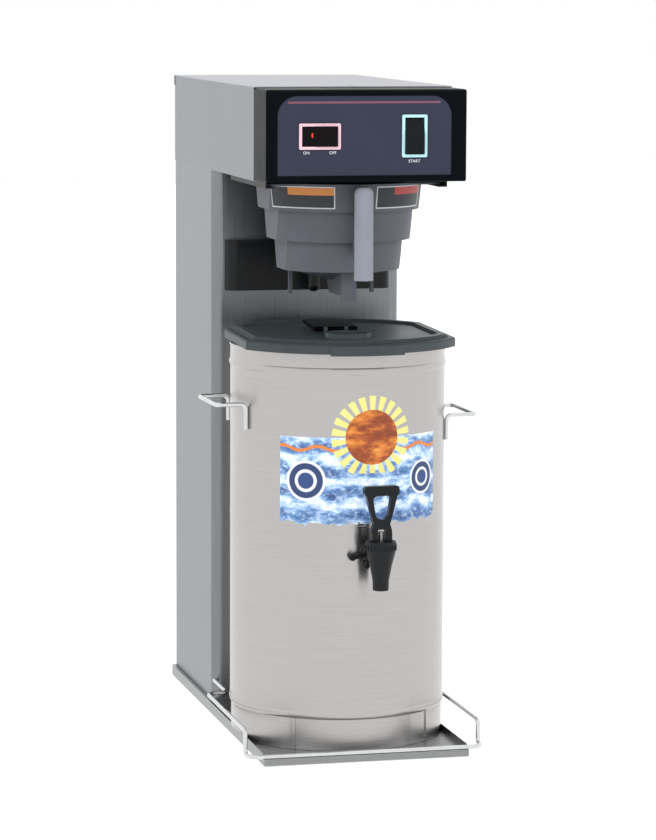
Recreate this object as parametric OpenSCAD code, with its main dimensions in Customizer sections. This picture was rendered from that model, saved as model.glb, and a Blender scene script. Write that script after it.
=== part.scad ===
// Iced tea maker: brewer stand with hood, brew basket, and a dispenser can on its tray.
// Millimetres. Origin at the middle of the base, on the counter. Front faces -Y, +Z is up.

/* [Overall] */
// Height of the hood
hood_h = 121.5; // [112:0.5:132]
// How far the hood stands inside the base pan on each side
side_step = 5; // [3:0.5:8]
// Free height between the lid and the tip of the basket's spout
pour_gap = 41.5; // [36:0.5:60]
// How far the steel part of the hood reaches in front of the base's middle
hood_front = 213.5; // [206:0.5:220]

/* [Base] */
// Depth of the base pan
base_d = 612; // [606:1:630]
// Height of the pan's side walls above the counter
pan_wall_h = 16.5; // [15:0.5:22]
// Height of the deck that the can stands on
deck_z = 8.5; // [8:0.5:12]
// Sheet thickness of the pan
pan_sheet = 1; // [0.8:0.1:1.2]
// Height of the pan's edge above the counter
pan_lift = 1.5; // [1:0.5:3]
// Radius of a rubber foot
foot_r = 15; // [10:1:20]

/* [Guide rail] */
// Diameter of the rail wire
rail_d = 6; // [4.5:0.5:7]
// Height of the side runs of the rail
rail_top_z = 44; // [36:1:60]
// How far the side runs stand outside the pan
rail_out = 19.5; // [17:0.5:26]
// Where the side runs turn in behind the can, in front of the middle of the base
rail_rear = 40; // [20:1:60]

/* [Trunk] */
// Place of the trunk's front face behind the middle of the base
trunk_front = 44; // [40:0.5:54]
// Radius of the trunk's front corners
trunk_r = 14; // [8:1:18]
// Sheet thickness of the trunk
trunk_sheet = 1; // [0.8:0.1:1.5]
// Thickness of the front and rear access panels
panel_t = 1; // [0.8:0.1:1.5]
// How far the front access panel stays inside the trunk's sides
panel_margin = 16; // [14:0.5:24]

/* [Dilution nozzle] */
// Height of the black nozzle cover
cover_h = 68; // [50:1:90]
// How far the nozzle cover stands out
cover_d = 16; // [10:1:22]
// Radius of the dilution nozzle
nozzle_r = 9; // [6:0.5:10]
// Depth of the nozzle's pipe below the hood
nozzle_low = 130; // [110:1:150]
// How far the nozzle's tip hangs below its pipe
nozzle_drop = 34.5; // [28:0.5:40]

/* [Hood] */
// Sheet thickness of the hood
hood_sheet = 1.2; // [0.8:0.1:1.6]
// Depth of the front bezel
bezel_d = 73.5; // [60:0.5:90]
// Wall thickness of the bezel
bezel_wall = 3; // [2:0.5:4]
// Radius of the bezel's upper front edge
bezel_top_r = 7; // [4:0.5:12]
// Radius of the bezel's other edges
bezel_edge_r = 3.5; // [2:0.5:5]
// Width of the bezel's border beside the label panel
label_side = 17.75; // [12:0.25:24]
// Height of the bezel's border above the label panel
label_top = 9.8; // [8:0.1:14]
// Height of the label panel
label_h = 101.5; // [92:0.5:106]
// Radius of the label panel's upper corners
label_r = 26; // [10:1:40]
// Thickness of the label panel
label_t = 1.2; // [0.8:0.1:1.6]
// How deep the label panel lies below the bezel's face
label_sink = 0.8; // [0.4:0.1:1.5]

/* [Switches] */
// Long side of a switch frame
switch_l = 54.5; // [48:0.5:60]
// Short side of a switch frame
switch_s = 33.2; // [28:0.2:38]
// Width of the frame round the rocker
switch_rim = 3.6; // [2.5:0.1:5]
// Distance of each switch from the bezel's middle
switch_x = 62.5; // [56:0.5:68]
// Height of the switches below the top of the hood
switch_drop = 61.2; // [56:0.2:66]
// Tilt of a rocker to each side
rocker_tilt = 9; // [6:0.5:12]
// Radius of the rocker's pivot pins
rocker_pin_r = 1.8; // [1.2:0.1:2.5]

/* [Brew basket] */
// How far the upper tier stays inside the hood's sides
basket_in = 21; // [19:0.5:26]
// How far the middle tier is set in from the upper one
tier_step1 = 11.5; // [9:0.5:14]
// How far the lower tier is set in from the middle one
tier_step2 = 13.5; // [10:0.5:16]
// Inward taper of a tier over its height
tier_taper = 5; // [2:0.5:7]
// Height of the upper tier
tier_h1 = 36.5; // [28:0.5:40]
// Height of the middle and lower tiers
tier_h2 = 40; // [34:0.5:44]
// Wall thickness of the basket
basket_wall = 2.4; // [1.8:0.1:3.2]
// Angle from the side within which each tier is cut flat
flat_angle = 17; // [10:1:22]
// How far the spout's tip hangs below the lower tier
spout_drop = 40; // [36:0.5:48]
// How far the spout's front wall reaches below its floor
spout_lip = 7; // [4:0.5:10]
// Width of the spout
spout_w = 20; // [16:1:26]
// How far the spout stands in front of the basket's axis
spout_y = 46; // [40:1:58]
// Radius of the hollow grip
grip_r = 12.3; // [10:0.1:14]
// How far the grip's middle stands outside the upper tier
grip_out = 25.5; // [22:0.5:30]
// Length of the grip
grip_h = 120; // [100:1:126]

/* [Dispenser can] */
// Outer radius of the can
can_r = 143; // [138:0.5:144]
// Height of the can from its foot to its rim
can_h = 524.7; // [500:0.1:560]
// Wall thickness of the can
can_wall = 1.2; // [0.8:0.1:2]
// How far the foot ring stands inside the can's wall
foot_in = 1.5; // [1:0.5:4]
// Depth of the flat at each side of the foot ring, between the pan's walls
foot_flat = 5.5; // [4:0.5:8]
// Height of the foot ring
can_foot_h = 45.5; // [36:0.5:56]
// Place of the can's axis in front of the middle of the base
can_y = 134; // [132:0.5:138]
// Turn of the can about its axis as it stands on the tray
can_turn = 3.75; // [0:0.25:6]
// Height of the seam between the can's upper and lower half, above its foot
seam_h = 297.2; // [270:0.1:330]
// Wire diameter of the can's handles
handle_d = 6; // [4:0.5:7]
// How far a can handle stands out
handle_out = 34; // [26:1:40]
// Width of a can handle
handle_w = 100; // [70:1:110]
// Depth of the left handle below the can's rim
handle_down = 74.5; // [60:0.5:130]
// How much lower the right handle is fixed
handle_drop = 22; // [0:1:30]
// Turn of the handles about the can's axis, back from the can's own turn
handle_turn = 2.5; // [0:0.25:6]

/* [Faucet] */
// Height of the faucet's shank above the can's foot
shank_h = 263.2; // [240:0.1:290]
// Distance of the faucet's spout from the can wall
faucet_reach = 45; // [40:1:52]
// Radius of the faucet's bonnet
bonnet_r = 20.5; // [17:0.5:22]
// Radius of the stem
stem_r = 3.2; // [2.6:0.1:3.8]
// Radius of the handle's pivot pin
lever_pin_r = 1.6; // [1.2:0.1:2]
// Height of the pivot pin above the bonnet
lever_pin_h = 9; // [8:0.5:11]
// Width across the top of the faucet handle
lever_w = 47; // [40:1:54]
// Height of the faucet handle above its foot
lever_h = 71.5; // [62:0.5:80]

/* [Lid] */
// How far the lid's round ends reach past the can's wall
lid_over = 18; // [14:0.5:20]
// How far the lid's flat sides stay inside the can's wall
lid_flat_in = 3; // [0:0.5:4]
// Height of the lid's skirt
lid_skirt_h = 12; // [9:0.5:14]
// Wall thickness of the lid
lid_t = 2.4; // [2:0.1:3]
// Height of the lid's raised border
lid_crown = 4.7; // [3:0.1:6]
// Depth of the lid's middle below the raised border
lid_dish = 4; // [2:0.1:4.4]
// How far the lid's middle lies in front of the can's axis
lid_shift = 6; // [0:0.5:8]
// Turn of the lid about its middle
lid_turn = -2; // [-5:0.5:5]
// Inner radius of the brew-through collar
collar_r = 25; // [20:0.5:27]
// How far the collar lies in front of the lid's middle
collar_y = 58; // [50:1:64]
// Length of the hinged flap
flap_l = 80; // [70:1:90]
// Width of the hinged flap
flap_w = 58; // [50:1:66]
// Angle at which the open flap lies above the lid
flap_rest = 2.5; // [1:0.5:5]

/* [Inside the trunk] */
// Radius of the hot water tank
tank_r = 82; // [70:1:84]
// Height of the hot water tank
tank_h = 300; // [240:5:320]
// Wall thickness of the tank
tank_wall = 1.2; // [0.8:0.1:2]
// Room between the tank's rim and the hood
tank_room = 32.5; // [30:0.5:60]

/* [Fits] */
// Radial gap of a turning or sliding pin in its bore
fit_gap = 0.05; // [0.03:0.01:0.1]
// Gap between pieces that move past each other
run_gap = 0.5; // [0.3:0.05:0.6]
// Gap between pieces that are set into each other
seat_gap = 0.1; // [0.05:0.05:0.2]

/* [Hidden] */
$fn = 96;
over = 1;                              // how far a cut runs past the face it opens
pan_gap = 0.5;
can_foot_r = can_r - foot_in;
pan_x = can_foot_r - foot_flat + pan_gap + pan_sheet;
pan_y = base_d / 2;
hood_w = 2 * (pan_x - side_step);
trunk_w = hood_w - 1;
plate_t = hood_sheet;
// Heights, from the deck up through the can, the lid, the basket and the hood
can_z = deck_z + 0.3;                  // the can stands just clear of the deck
wall_z = can_z + can_foot_h;
seam_z = can_z + seam_h;
shank_z = can_z + shank_h;
can_top_z = can_z + can_h;
handle_z = can_top_z - handle_down;
bead_z = can_top_z - 25;
lid_low = can_top_z + 0.3;
lid_rim = lid_low + lid_skirt_h;
lid_top = lid_rim + lid_crown;
lid_floor = lid_top - lid_dish;
lid_under = lid_rim - lid_t;
spout_tip_z = lid_top + pour_gap;
tier_z3 = spout_tip_z + spout_drop;
tier_z2 = tier_z3 + tier_h2;
tier_z1 = tier_z2 + tier_h2;
basket_top = tier_z1 + tier_h1;
hood_bottom = basket_top + 4;
overall_h = hood_bottom + hood_h;
trunk_back = pan_y - pan_sheet - panel_t - 1;
wrap_in = trunk_w / 2 - trunk_sheet;
axis_y = -can_y;                       // the can and the basket share one axis
bezel_front = -(hood_front + bezel_d);
bezel_z0 = hood_bottom + 1.4;
bezel_z1 = overall_h - 1.6;
switch_z = overall_h - switch_drop;
label_w = hood_w - 2 * label_side;
label_z0 = overall_h - label_top - label_h;
label_x = -2.9;
rail_r = rail_d / 2;
rail_rear_y = -rail_rear;
front_panel_w = trunk_w - 2 * panel_margin;
cover_w = front_panel_w - 1;
nozzle_z = hood_bottom - nozzle_low;
nozzle_tip_z = nozzle_z - nozzle_drop;
cover_z1 = nozzle_z + cover_h / 2;
tier_r1 = hood_w / 2 - basket_in;
tier_r2 = tier_r1 - tier_step1;
tier_r3 = tier_r2 - tier_step2;
grip_y = tier_r1 + grip_out;
flange_t = 2.5;
flange_x = tier_r1 + 6;
cone_h = 15;
cone_r = 14;
faucet_y = -(can_r + faucet_reach);
bonnet_h = 11;
bonnet_z = shank_z + 22;
bonnet_in = 5;
body_top = bonnet_z - bonnet_in;
lever_pin_z = bonnet_z + lever_pin_h;
lever_foot_w = 27;
lid_r = can_r + lid_over;
lid_flat = can_r - lid_flat_in;
lid_y = axis_y - lid_shift;
flap_t = 4.6;
flap_pin_r = 1.5;
flap_x = -6;                           // the flap's middle beside the lid's middle
flap_y = -8;                           // the flap's hinge in front of the lid's middle
flap_z = lid_top + 1.5;
tank_y = trunk_back - tank_r - 25;
tank_top = hood_bottom - tank_room;
tank_z = tank_top - tank_h;
shelf_z = tank_z - 2;
gasket_t = 3;
tank_lid_z = tank_top + gasket_t;
tank_lid_t = 2;
rocker_depth = 2;
valve_y = trunk_front + 34;
inlet_valve_y = trunk_back - 54;
valve_reach = 23;                      // from a valve's middle to the end of its tube

// A box from its lowest to its highest corner
module block(a, b) {
    translate(a) cube(b - a);
}

// A rectangle with its own radius at each corner: lower left, lower right, upper right, upper left
module round_rect(x0, y0, x1, y1, radii) {
    r0 = radii[0];
    r1 = radii[1];
    r2 = radii[2];
    r3 = radii[3];
    polygon([
        [x0 + r0, y0], [x1 - r1, y0], [x1, y0 + r1], [x1, y1 - r2],
        [x1 - r2, y1], [x0 + r3, y1], [x0, y1 - r3], [x0, y0 + r0]
    ]);
    if (r0 > 0) translate([x0 + r0, y0 + r0]) circle(r = r0);
    if (r1 > 0) translate([x1 - r1, y0 + r1]) circle(r = r1);
    if (r2 > 0) translate([x1 - r2, y1 - r2]) circle(r = r2);
    if (r3 > 0) translate([x0 + r3, y1 - r3]) circle(r = r3);
}

function unit(v) = v / norm(v);

// A cylinder from one point to another
module rod(p, q, r) {
    along = q - p;
    tilt = acos(along[2] / norm(along));
    turn = atan2(along[1], along[0]);
    translate(p) rotate([0, tilt, turn]) cylinder(r = r, h = norm(along));
}

function pick(value, i) = is_list(value) ? value[i] : value;

// A round wire through points, bent at each inner point: bend is one radius, or a list with one for each point
module bent_rod(points, r, bend) {
    $fn = 32;
    last = len(points) - 1;
    // Length that the bend at point i takes from each straight beside it
    trims = [for (i = [0 : last])
        i == 0 || i == last ? 0 :
        let (a = unit(points[i] - points[i - 1]), b = unit(points[i + 1] - points[i]))
        pick(bend, i) * tan(acos(a * b) / 2)];
    for (i = [0 : last - 1]) {
        dir = unit(points[i + 1] - points[i]);
        rod(points[i] + dir * trims[i], points[i + 1] - dir * trims[i + 1], r);
    }
    for (i = [1 : last - 1]) {
        a = unit(points[i] - points[i - 1]);
        b = unit(points[i + 1] - points[i]);
        inward = unit(b - (a * b) * a);
        start = points[i] - a * trims[i];
        centre = start + inward * pick(bend, i);
        side = cross(-inward, a);
        multmatrix([
            [-inward[0], a[0], side[0], centre[0]],
            [-inward[1], a[1], side[1], centre[1]],
            [-inward[2], a[2], side[2], centre[2]],
            [0, 0, 0, 1]
        ])
            rotate_extrude(angle = acos(a * b)) translate([pick(bend, i), 0]) circle(r = r);
    }
}

// A bent tube with its bore
module bent_tube(points, r, wall, bend) {
    last = len(points) - 1;
    first_dir = unit(points[1] - points[0]);
    last_dir = unit(points[last] - points[last - 1]);
    bore = [for (i = [0 : last])
        i == 0 ? points[0] - first_dir * over :
        i == last ? points[last] + last_dir * over : points[i]];
    difference() {
        bent_rod(points, r, bend);
        bent_rod(bore, r - wall, bend);
    }
}

// A pan-head screw whose head stands on the face at z = 0, shank downwards
module screw(head_r, head_h, shank_r, shank_l) {
    cylinder(r1 = head_r, r2 = head_r * 0.7, h = head_h);
    translate([0, 0, -shank_l]) cylinder(r = shank_r, h = shank_l);
}

// Base

module base_pan() {
    color("silver") {
        difference() {
            block([-pan_x, -pan_y, pan_lift], [pan_x, pan_y, pan_wall_h]);
            block([-pan_x + pan_sheet, -pan_y + pan_sheet, deck_z],
                  [pan_x - pan_sheet, pan_y - pan_sheet, pan_wall_h + over]);
            block([-pan_x + pan_sheet, -pan_y + pan_sheet, pan_lift - over],
                  [pan_x - pan_sheet, pan_y - pan_sheet, deck_z - pan_sheet]);
            // The front edge is lower and carries the rail's front run
            block([-pan_x - over, -pan_y - over, rail_front_z() - 0.86 * rail_r],
                  [pan_x + over, -pan_y + 1.5 * rail_d, pan_wall_h + over]);
        }
        // Side walls turned in beside the trunk
        for (s = [-1, 1]) {
            x0 = min(s * (pan_x - pan_sheet), s * (trunk_w / 2 + run_gap));
            block([x0, trunk_front + 2, pan_wall_h - pan_sheet],
                  [x0 + pan_x - pan_sheet - trunk_w / 2 - run_gap, pan_y - pan_sheet, pan_wall_h]);
        }
    }
}

function rail_front_z() = deck_z + 1.6 + rail_r;

module rubber_feet() {
    color("#202020")
        for (sx = [-1, 1], sy = [-1, 1])
            translate([sx * (pan_x - 24), sy * (pan_y - 24), 0]) {
                cylinder(r1 = foot_r - 2, r2 = foot_r, h = 2);
                translate([0, 0, 2]) cylinder(r = foot_r, h = deck_z - pan_sheet - 2);
            }
}

module guide_rail() {
    x_out = pan_x + rail_out;
    y_front = -pan_y + rail_r;
    y_post = y_front + 23.7;
    z_front = rail_front_z();
    // The side runs turn in behind the can and end at the trunk's front corners
    x_in = trunk_w / 2 - rail_r;
    y_end = trunk_front + trunk_r - sqrt(trunk_r * trunk_r - pow(trunk_r - rail_d, 2)) - 0.3;
    right = [
        [x_in, y_end, rail_top_z], [x_in, rail_rear_y, rail_top_z], [x_out, rail_rear_y, rail_top_z],
        [x_out, y_post, rail_top_z], [x_out, y_post, z_front], [x_out, y_front, z_front]
    ];
    left = [for (i = [len(right) - 1 : -1 : 0]) [-right[i][0], right[i][1], right[i][2]]];
    bends = [0, 12, 12, 7, 7, 16, 16, 7, 7, 12, 12, 0];
    color("#d8dadc") bent_rod(concat(right, left), rail_r, bends);
}

// Trunk

module trunk_outline(x, y0, y1, r) {
    intersection() {
        round_rect(-x, y0, x, y1, [r, r, 0, 0]);
        translate([-x, y0]) square([2 * x, y1 - y0]);
    }
}

module trunk_wrap() {
    inner_r = trunk_r - trunk_sheet;
    lip = 14;
    color("silver") {
        difference() {
            translate([0, 0, deck_z]) linear_extrude(hood_bottom - deck_z) difference() {
                trunk_outline(trunk_w / 2, trunk_front, trunk_back, trunk_r);
                trunk_outline(wrap_in, trunk_front + trunk_sheet, trunk_back + over, inner_r);
            }
            // The window behind the front access panel
            block([-front_panel_w / 2 + 12, trunk_front - over, deck_z + 40],
                  [front_panel_w / 2 - 12, trunk_front + trunk_sheet + over, hood_bottom - 30]);
        }
        // Rear edges turned in to take the rear panel
        for (s = [-1, 1]) {
            x0 = min(s * wrap_in, s * (wrap_in - lip));
            block([x0, trunk_back - trunk_sheet, pan_wall_h + 2], [x0 + lip, trunk_back, hood_bottom]);
        }
    }
}

module front_panel() {
    x = front_panel_w / 2;
    y0 = trunk_front - panel_t;
    color("#c9cbcd") {
        difference() {
            block([-x, y0, deck_z + 8], [x, trunk_front, hood_bottom - 0.5]);
            // Passage for the dilution nozzle
            translate([0, y0 - over, nozzle_z]) rotate([-90, 0, 0]) cylinder(r = 7, h = panel_t + 2 * over);
        }
        // Bottom edge folded forward
        translate([-x, y0 - 1.5, deck_z + 8]) cube([2 * x, 1.5, 1]);
    }
}

function rear_screw_z() = [for (i = [0 : 4]) 60 + i * (hood_bottom - 22.5 - 60) / 4];

module rear_panel() {
    x = wrap_in - 2;
    slots = 9;
    color("silver") difference() {
        block([-x, trunk_back, pan_wall_h + 2], [x, trunk_back + panel_t, hood_bottom - 1]);
        translate([inlet_x(), trunk_back - over, inlet_z()]) rotate([-90, 0, 0])
            cylinder(r = 9 + seat_gap, h = panel_t + 2 * over);
        translate([-inlet_x(), trunk_back - over, inlet_z()]) rotate([-90, 0, 0])
            cylinder(r = 11 + seat_gap, h = panel_t + 2 * over);
        for (s = [-1, 1], z = rear_screw_z())
            translate([s * (wrap_in - 8), trunk_back - over, z]) rotate([-90, 0, 0])
                cylinder(r = 2.2, h = panel_t + 2 * over);
        // Vent slots over the tank
        for (i = [0 : slots - 1], s = [-1, 1])
            block([s * 45 - 30, trunk_back - over, hood_bottom - 130 + i * 11],
                  [s * 45 + 30, trunk_back + panel_t + over, hood_bottom - 126 + i * 11]);
    }
}

module panel_screws() {
    color("gainsboro")
        for (s = [-1, 1], z = rear_screw_z())
            translate([s * (wrap_in - 8), trunk_back + panel_t, z]) rotate([-90, 0, 0])
                screw(3.6, 1.8, 2, panel_t);
}

function inlet_x() = -60;
function inlet_z() = 74;

module cord_gland() {
    color("#1c1c1c") translate([-inlet_x(), trunk_back + panel_t, inlet_z()]) rotate([90, 0, 0]) difference() {
        union() {
            translate([0, 0, -2]) cylinder(r = 14, h = 2);
            cylinder(r = 11, h = 9);
            translate([0, 0, panel_t]) cylinder(r = 13, h = 3);
        }
        translate([0, 0, -2 - over]) cylinder(r = 5, h = 11 + 2 * over);
    }
}

// Hood

module hood_shell() {
    x = hood_w / 2;
    y0 = -hood_front;
    y1 = pan_y - 1;
    z1 = overall_h - plate_t;
    lip = 12;
    color("silver") {
        difference() {
            block([-x, y0, hood_bottom], [x, y1, z1]);
            block([-x + hood_sheet, y0 - over, hood_bottom - over], [x - hood_sheet, y1 - hood_sheet, z1 + over]);
            for (s = [-1, 1]) rear_cover_screw(s) cylinder(r = 2 + seat_gap, h = 8, center = true);
        }
        // Edges turned in at the top and the bottom
        for (s = [-1, 1]) {
            x0 = min(s * (x - hood_sheet), s * (x - hood_sheet - lip));
            block([x0, y0 + 26, z1 - hood_sheet], [x0 + lip, y1 - hood_sheet, z1]);
            block([x0, y0 + 26, hood_bottom + plate_t], [x0 + lip, y1 - hood_sheet, hood_bottom + plate_t + hood_sheet]);
        }
    }
}

module hood_bottom() {
    x = hood_w / 2 - hood_sheet;
    color("#b9bcbf") difference() {
        block([-x, -hood_front, hood_bottom], [x, pan_y - 1 - hood_sheet, hood_bottom + plate_t]);
        // Opening into the trunk
        block([-x + 30, trunk_front + 26, hood_bottom - over],
              [x - 30, trunk_back - 30, hood_bottom + plate_t + over]);
        translate([0, axis_y, hood_bottom - over]) cylinder(r = 12 + seat_gap, h = plate_t + 2 * over);
    }
}

cover_fold = 14;

// Places of the top cover's screws: one in front, through the bezel's tongue, and two at the back
module front_cover_screw() {
    translate([0, -hood_front + 11.5, overall_h]) children();
}

module rear_cover_screw(s) {
    translate([s * (hood_w / 2 - 28), pan_y, overall_h - cover_fold / 2]) rotate([-90, 0, 0]) children();
}

module top_cover() {
    x = hood_w / 2;
    color("#cfcfd6") {
        difference() {
            union() {
                block([-x, -hood_front, overall_h - plate_t], [x, pan_y - 1, overall_h]);
                // Rear edge folded down over the back of the hood
                block([-x - 1, pan_y - 1, overall_h - cover_fold], [x + 1, pan_y, overall_h]);
            }
            front_cover_screw() cylinder(r = 2 + seat_gap, h = 8, center = true);
            for (s = [-1, 1]) rear_cover_screw(s) cylinder(r = 2 + seat_gap, h = 8, center = true);
        }
    }
}

module cover_screws() {
    color("gainsboro") {
        front_cover_screw() screw(3.8, 1.6, 2, plate_t + 4);
        for (s = [-1, 1]) rear_cover_screw(s) screw(3.8, 1.6, 2, 1 + hood_sheet);
    }
}

module bezel_solid(inset) {
    x = hood_w / 2 - inset;
    y0 = bezel_front + inset;
    z0 = bezel_z0 + inset;
    z1 = bezel_z1 - inset;
    edge = bezel_edge_r - inset / 2;
    top = bezel_top_r - inset / 2;
    y1 = -hood_front + (inset > 0 ? over : 0);
    intersection() {
        // Side profile, rounded at both front edges
        translate([-x, 0, 0]) rotate([90, 0, 90]) linear_extrude(2 * x)
            round_rect(y0, z0, y1, z1, [edge, 0, 0, top]);
        // Front outline
        translate([0, y1, 0]) rotate([90, 0, 0]) linear_extrude(y1 - y0)
            round_rect(-x, z0, x, z1, [edge, edge, edge, edge]);
        // Plan, rounded at both front corners
        translate([0, 0, z0]) linear_extrude(z1 - z0)
            round_rect(-x, y0, x, y1, [edge, edge, 0, 0]);
    }
}

// Outline of the label panel, seen from the front
module label_outline(grow) {
    x0 = label_x - label_w / 2 - grow;
    x1 = label_x + label_w / 2 + grow;
    round_rect(x0, label_z0 - grow, x1, label_z0 + label_h + grow, [2, 2, label_r, label_r]);
}

// What stands in the XZ plane at y = front and reaches depth back
module facing(front, depth) {
    translate([0, front + depth, 0]) rotate([90, 0, 0]) linear_extrude(depth) children();
}

// Hole for a switch housing, seen from the front
module switch_hole(grow) {
    l = switch_l / 2 - 1.5 + grow;
    s = switch_s / 2 - 1.5 + grow;
    translate([-switch_x, switch_z]) square([2 * l, 2 * s], center = true);
    translate([switch_x, switch_z]) square([2 * s, 2 * l], center = true);
}

module bezel() {
    tongue = 20;
    x = hood_w / 2 - hood_sheet - 0.5;
    z0 = hood_bottom + plate_t + 0.5;
    z1 = overall_h - plate_t - 0.5;
    color("#282e2e") {
        difference() {
            bezel_solid(0);
            bezel_solid(bezel_wall);
            facing(bezel_front - over, label_sink + label_t + over) label_outline(seat_gap);
            facing(bezel_front - over, bezel_wall + 3 * over) switch_hole(seat_gap);
        }
        // Tongue that slips into the steel hood
        difference() {
            block([-x, -hood_front - 2, z0], [x, -hood_front + tongue, z1]);
            block([-x + 2, -hood_front - 2 - over, z0 + 2], [x - 2, -hood_front + tongue + over, z1 - 2]);
            front_cover_screw() cylinder(r = 2 + seat_gap, h = 14, center = true);
        }
    }
}

module label_panel() {
    color("#3f4460") difference() {
        facing(bezel_front + label_sink, label_t) label_outline(0);
        facing(bezel_front - over, bezel_wall + 3 * over) switch_hole(seat_gap);
    }
}

// Switches. A switch is drawn with its long side along X and its front facing +Z at z = 0.

module switch_body_shape() {
    l = switch_l / 2;
    s = switch_s / 2;
    win_l = l - switch_rim;
    win_s = s - switch_rim;
    difference() {
        union() {
            translate([0, 0, -1.6]) linear_extrude(1.6 + label_sink)
                round_rect(-l, -s, l, s, [2, 2, 2, 2]);
            block([-l + 1.5, -s + 1.5, -24], [l - 1.5, s - 1.5, 0]);
            // Terminals at the back
            for (i = [-1 : 1]) block([i * 14 - 3, -0.4, -32], [i * 14 + 3, 0.4, -24]);
        }
        block([-win_l, -win_s, -12], [win_l, win_s, label_sink + over]);
        translate([0, s + over, -rocker_depth]) rotate([90, 0, 0])
            cylinder(r = rocker_pin_r + fit_gap, h = 2 * (s + over));
    }
}

module rocker_shape(tilt) {
    end_r = switch_l / 2 - switch_rim - 0.4;
    half = switch_s / 2 - switch_rim - run_gap;
    crown = rocker_depth + 3.6;
    drop = end_r * tan(rocker_tilt);
    translate([0, 0, -rocker_depth]) rotate([0, tilt, 0]) {
        intersection() {
            translate([0, half, 0]) rotate([90, 0, 0]) cylinder(r = end_r, h = 2 * half);
            translate([0, half, 0]) rotate([90, 0, 0]) linear_extrude(2 * half)
                polygon([[-end_r, -3], [end_r, -3], [end_r, crown - drop], [0, crown], [-end_r, crown - drop]]);
        }
        translate([0, switch_s / 2 - 1.5, 0]) rotate([90, 0, 0]) cylinder(r = rocker_pin_r, h = switch_s - 3);
    }
}

// Places a switch in the bezel: turned for one whose long side stands upright
module at_switch(x, upright) {
    y = bezel_front + label_sink - 1.6;
    translate([x, y, switch_z]) rotate([90, 0, 0]) rotate([0, 0, upright ? 90 : 0]) children();
}

module power_switch_body() {
    color("#e7b8c8") at_switch(-switch_x, false) switch_body_shape();
}

module power_rocker() {
    color("#1a1416") at_switch(-switch_x, false) rocker_shape(-rocker_tilt);
}

module start_switch_body() {
    color("#bfe3e6") at_switch(switch_x, true) switch_body_shape();
}

module start_rocker() {
    color("#141a1c") at_switch(switch_x, true) rocker_shape(rocker_tilt);
}

// Rails that carry the brew basket under the hood

module basket_rail(s) {
    inner = tier_r1 - 2;
    outer = flange_x + 4;
    ledge_z = basket_top - flange_t - 0.3;
    y0 = axis_y - 100;
    y1 = axis_y + 110;
    color("#1e2224") mirror([s < 0 ? 1 : 0, 0, 0]) difference() {
        translate([0, y1, 0]) rotate([90, 0, 0]) linear_extrude(y1 - y0)
            polygon([
                [inner, ledge_z - 2], [outer, ledge_z - 2], [outer, hood_bottom], [outer - 2.5, hood_bottom],
                [outer - 2.5, ledge_z], [inner, ledge_z]
            ]);
        // Lead-in at the front end
        translate([inner - over, y0 - over, ledge_z - 3]) rotate([-22, 0, 0]) translate([0, -10, -12])
            cube([outer - inner + 2 * over, 26, 12]);
    }
}

module basket_rail_left() {
    basket_rail(-1);
}

module basket_rail_right() {
    basket_rail(1);
}

module sprayhead() {
    holes = 8;
    z0 = hood_bottom - 2.2;
    color("gainsboro") difference() {
        union() {
            translate([0, axis_y, z0]) cylinder(r = 28, h = 2.2);
            translate([0, axis_y, z0]) cylinder(r = 12, h = 22);
            translate([0, axis_y, hood_bottom + plate_t]) cylinder(r = 16, h = 5, $fn = 6);
        }
        translate([0, axis_y, z0 + 1.2]) cylinder(r = 6, h = 22);
        for (i = [0 : holes - 1])
            translate([4 * cos(i * 360 / holes), axis_y + 4 * sin(i * 360 / holes), z0 - over])
                cylinder(r = 0.9, h = 3);
    }
}

module spray_tube() {
    z = hood_bottom + 52;
    color("#e8e6df") bent_tube([
        [0, axis_y, hood_bottom + 20], [0, axis_y, z], [0, tank_y - 30, z], [0, tank_y - 30, tank_lid_z + 12]
    ], 8, 1.8, 22);
}

// Dilution water

module nozzle_cover() {
    x = cover_w / 2;
    y1 = trunk_front - panel_t;
    y0 = y1 - cover_d;
    z0 = cover_z1 - cover_h;
    wall = 2.4;
    color("#15191a") difference() {
        translate([0, 0, z0]) linear_extrude(cover_h) trunk_outline(x, y0, y1, cover_d - 2);
        translate([0, 0, z0 - over]) linear_extrude(cover_h - wall + over)
            trunk_outline(x - wall, y0 + wall, y1 + over, cover_d - 2 - wall);
        translate([0, y0 - over, nozzle_z]) rotate([-90, 0, 0]) cylinder(r = 7, h = wall + 2 * over);
    }
}

module dilution_nozzle() {
    y_tip = trunk_front - 42;
    y_back = trunk_front + 9.5;
    color("#101314") difference() {
        union() {
            translate([0, y_tip, nozzle_tip_z + nozzle_r]) cylinder(r = nozzle_r, h = nozzle_z - nozzle_tip_z - nozzle_r);
            translate([0, y_tip, nozzle_tip_z + nozzle_r]) sphere(r = nozzle_r);
            translate([0, y_tip, nozzle_z]) sphere(r = nozzle_r);
            rod([0, y_tip, nozzle_z], [0, y_back, nozzle_z], 6.8);
        }
        translate([0, y_tip, nozzle_tip_z - over]) cylinder(r = 3, h = nozzle_z - nozzle_tip_z + over);
        rod([0, y_tip, nozzle_z], [0, y_back + over, nozzle_z], 3);
    }
}

// A solenoid valve: brass body with its ports along Y and a coil above
module valve_shape() {
    body_c = "#c8a24a";
    difference() {
        union() {
            color(body_c) block([-13, -18, -13], [13, 18, 13]);
            color(body_c) rod([0, -24, 0], [0, 24, 0], 8);
            color(body_c) cylinder(r = 9, h = 24);
            color("#23262b") translate([0, 0, 15]) cylinder(r = 17, h = 30);
            color("gainsboro") translate([0, 0, 45]) cylinder(r = 6, h = 3);
        }
        rod([0, -25, 0], [0, 25, 0], 4);
    }
}

module dilution_valve() {
    translate([0, valve_y, nozzle_z]) valve_shape();
}

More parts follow.
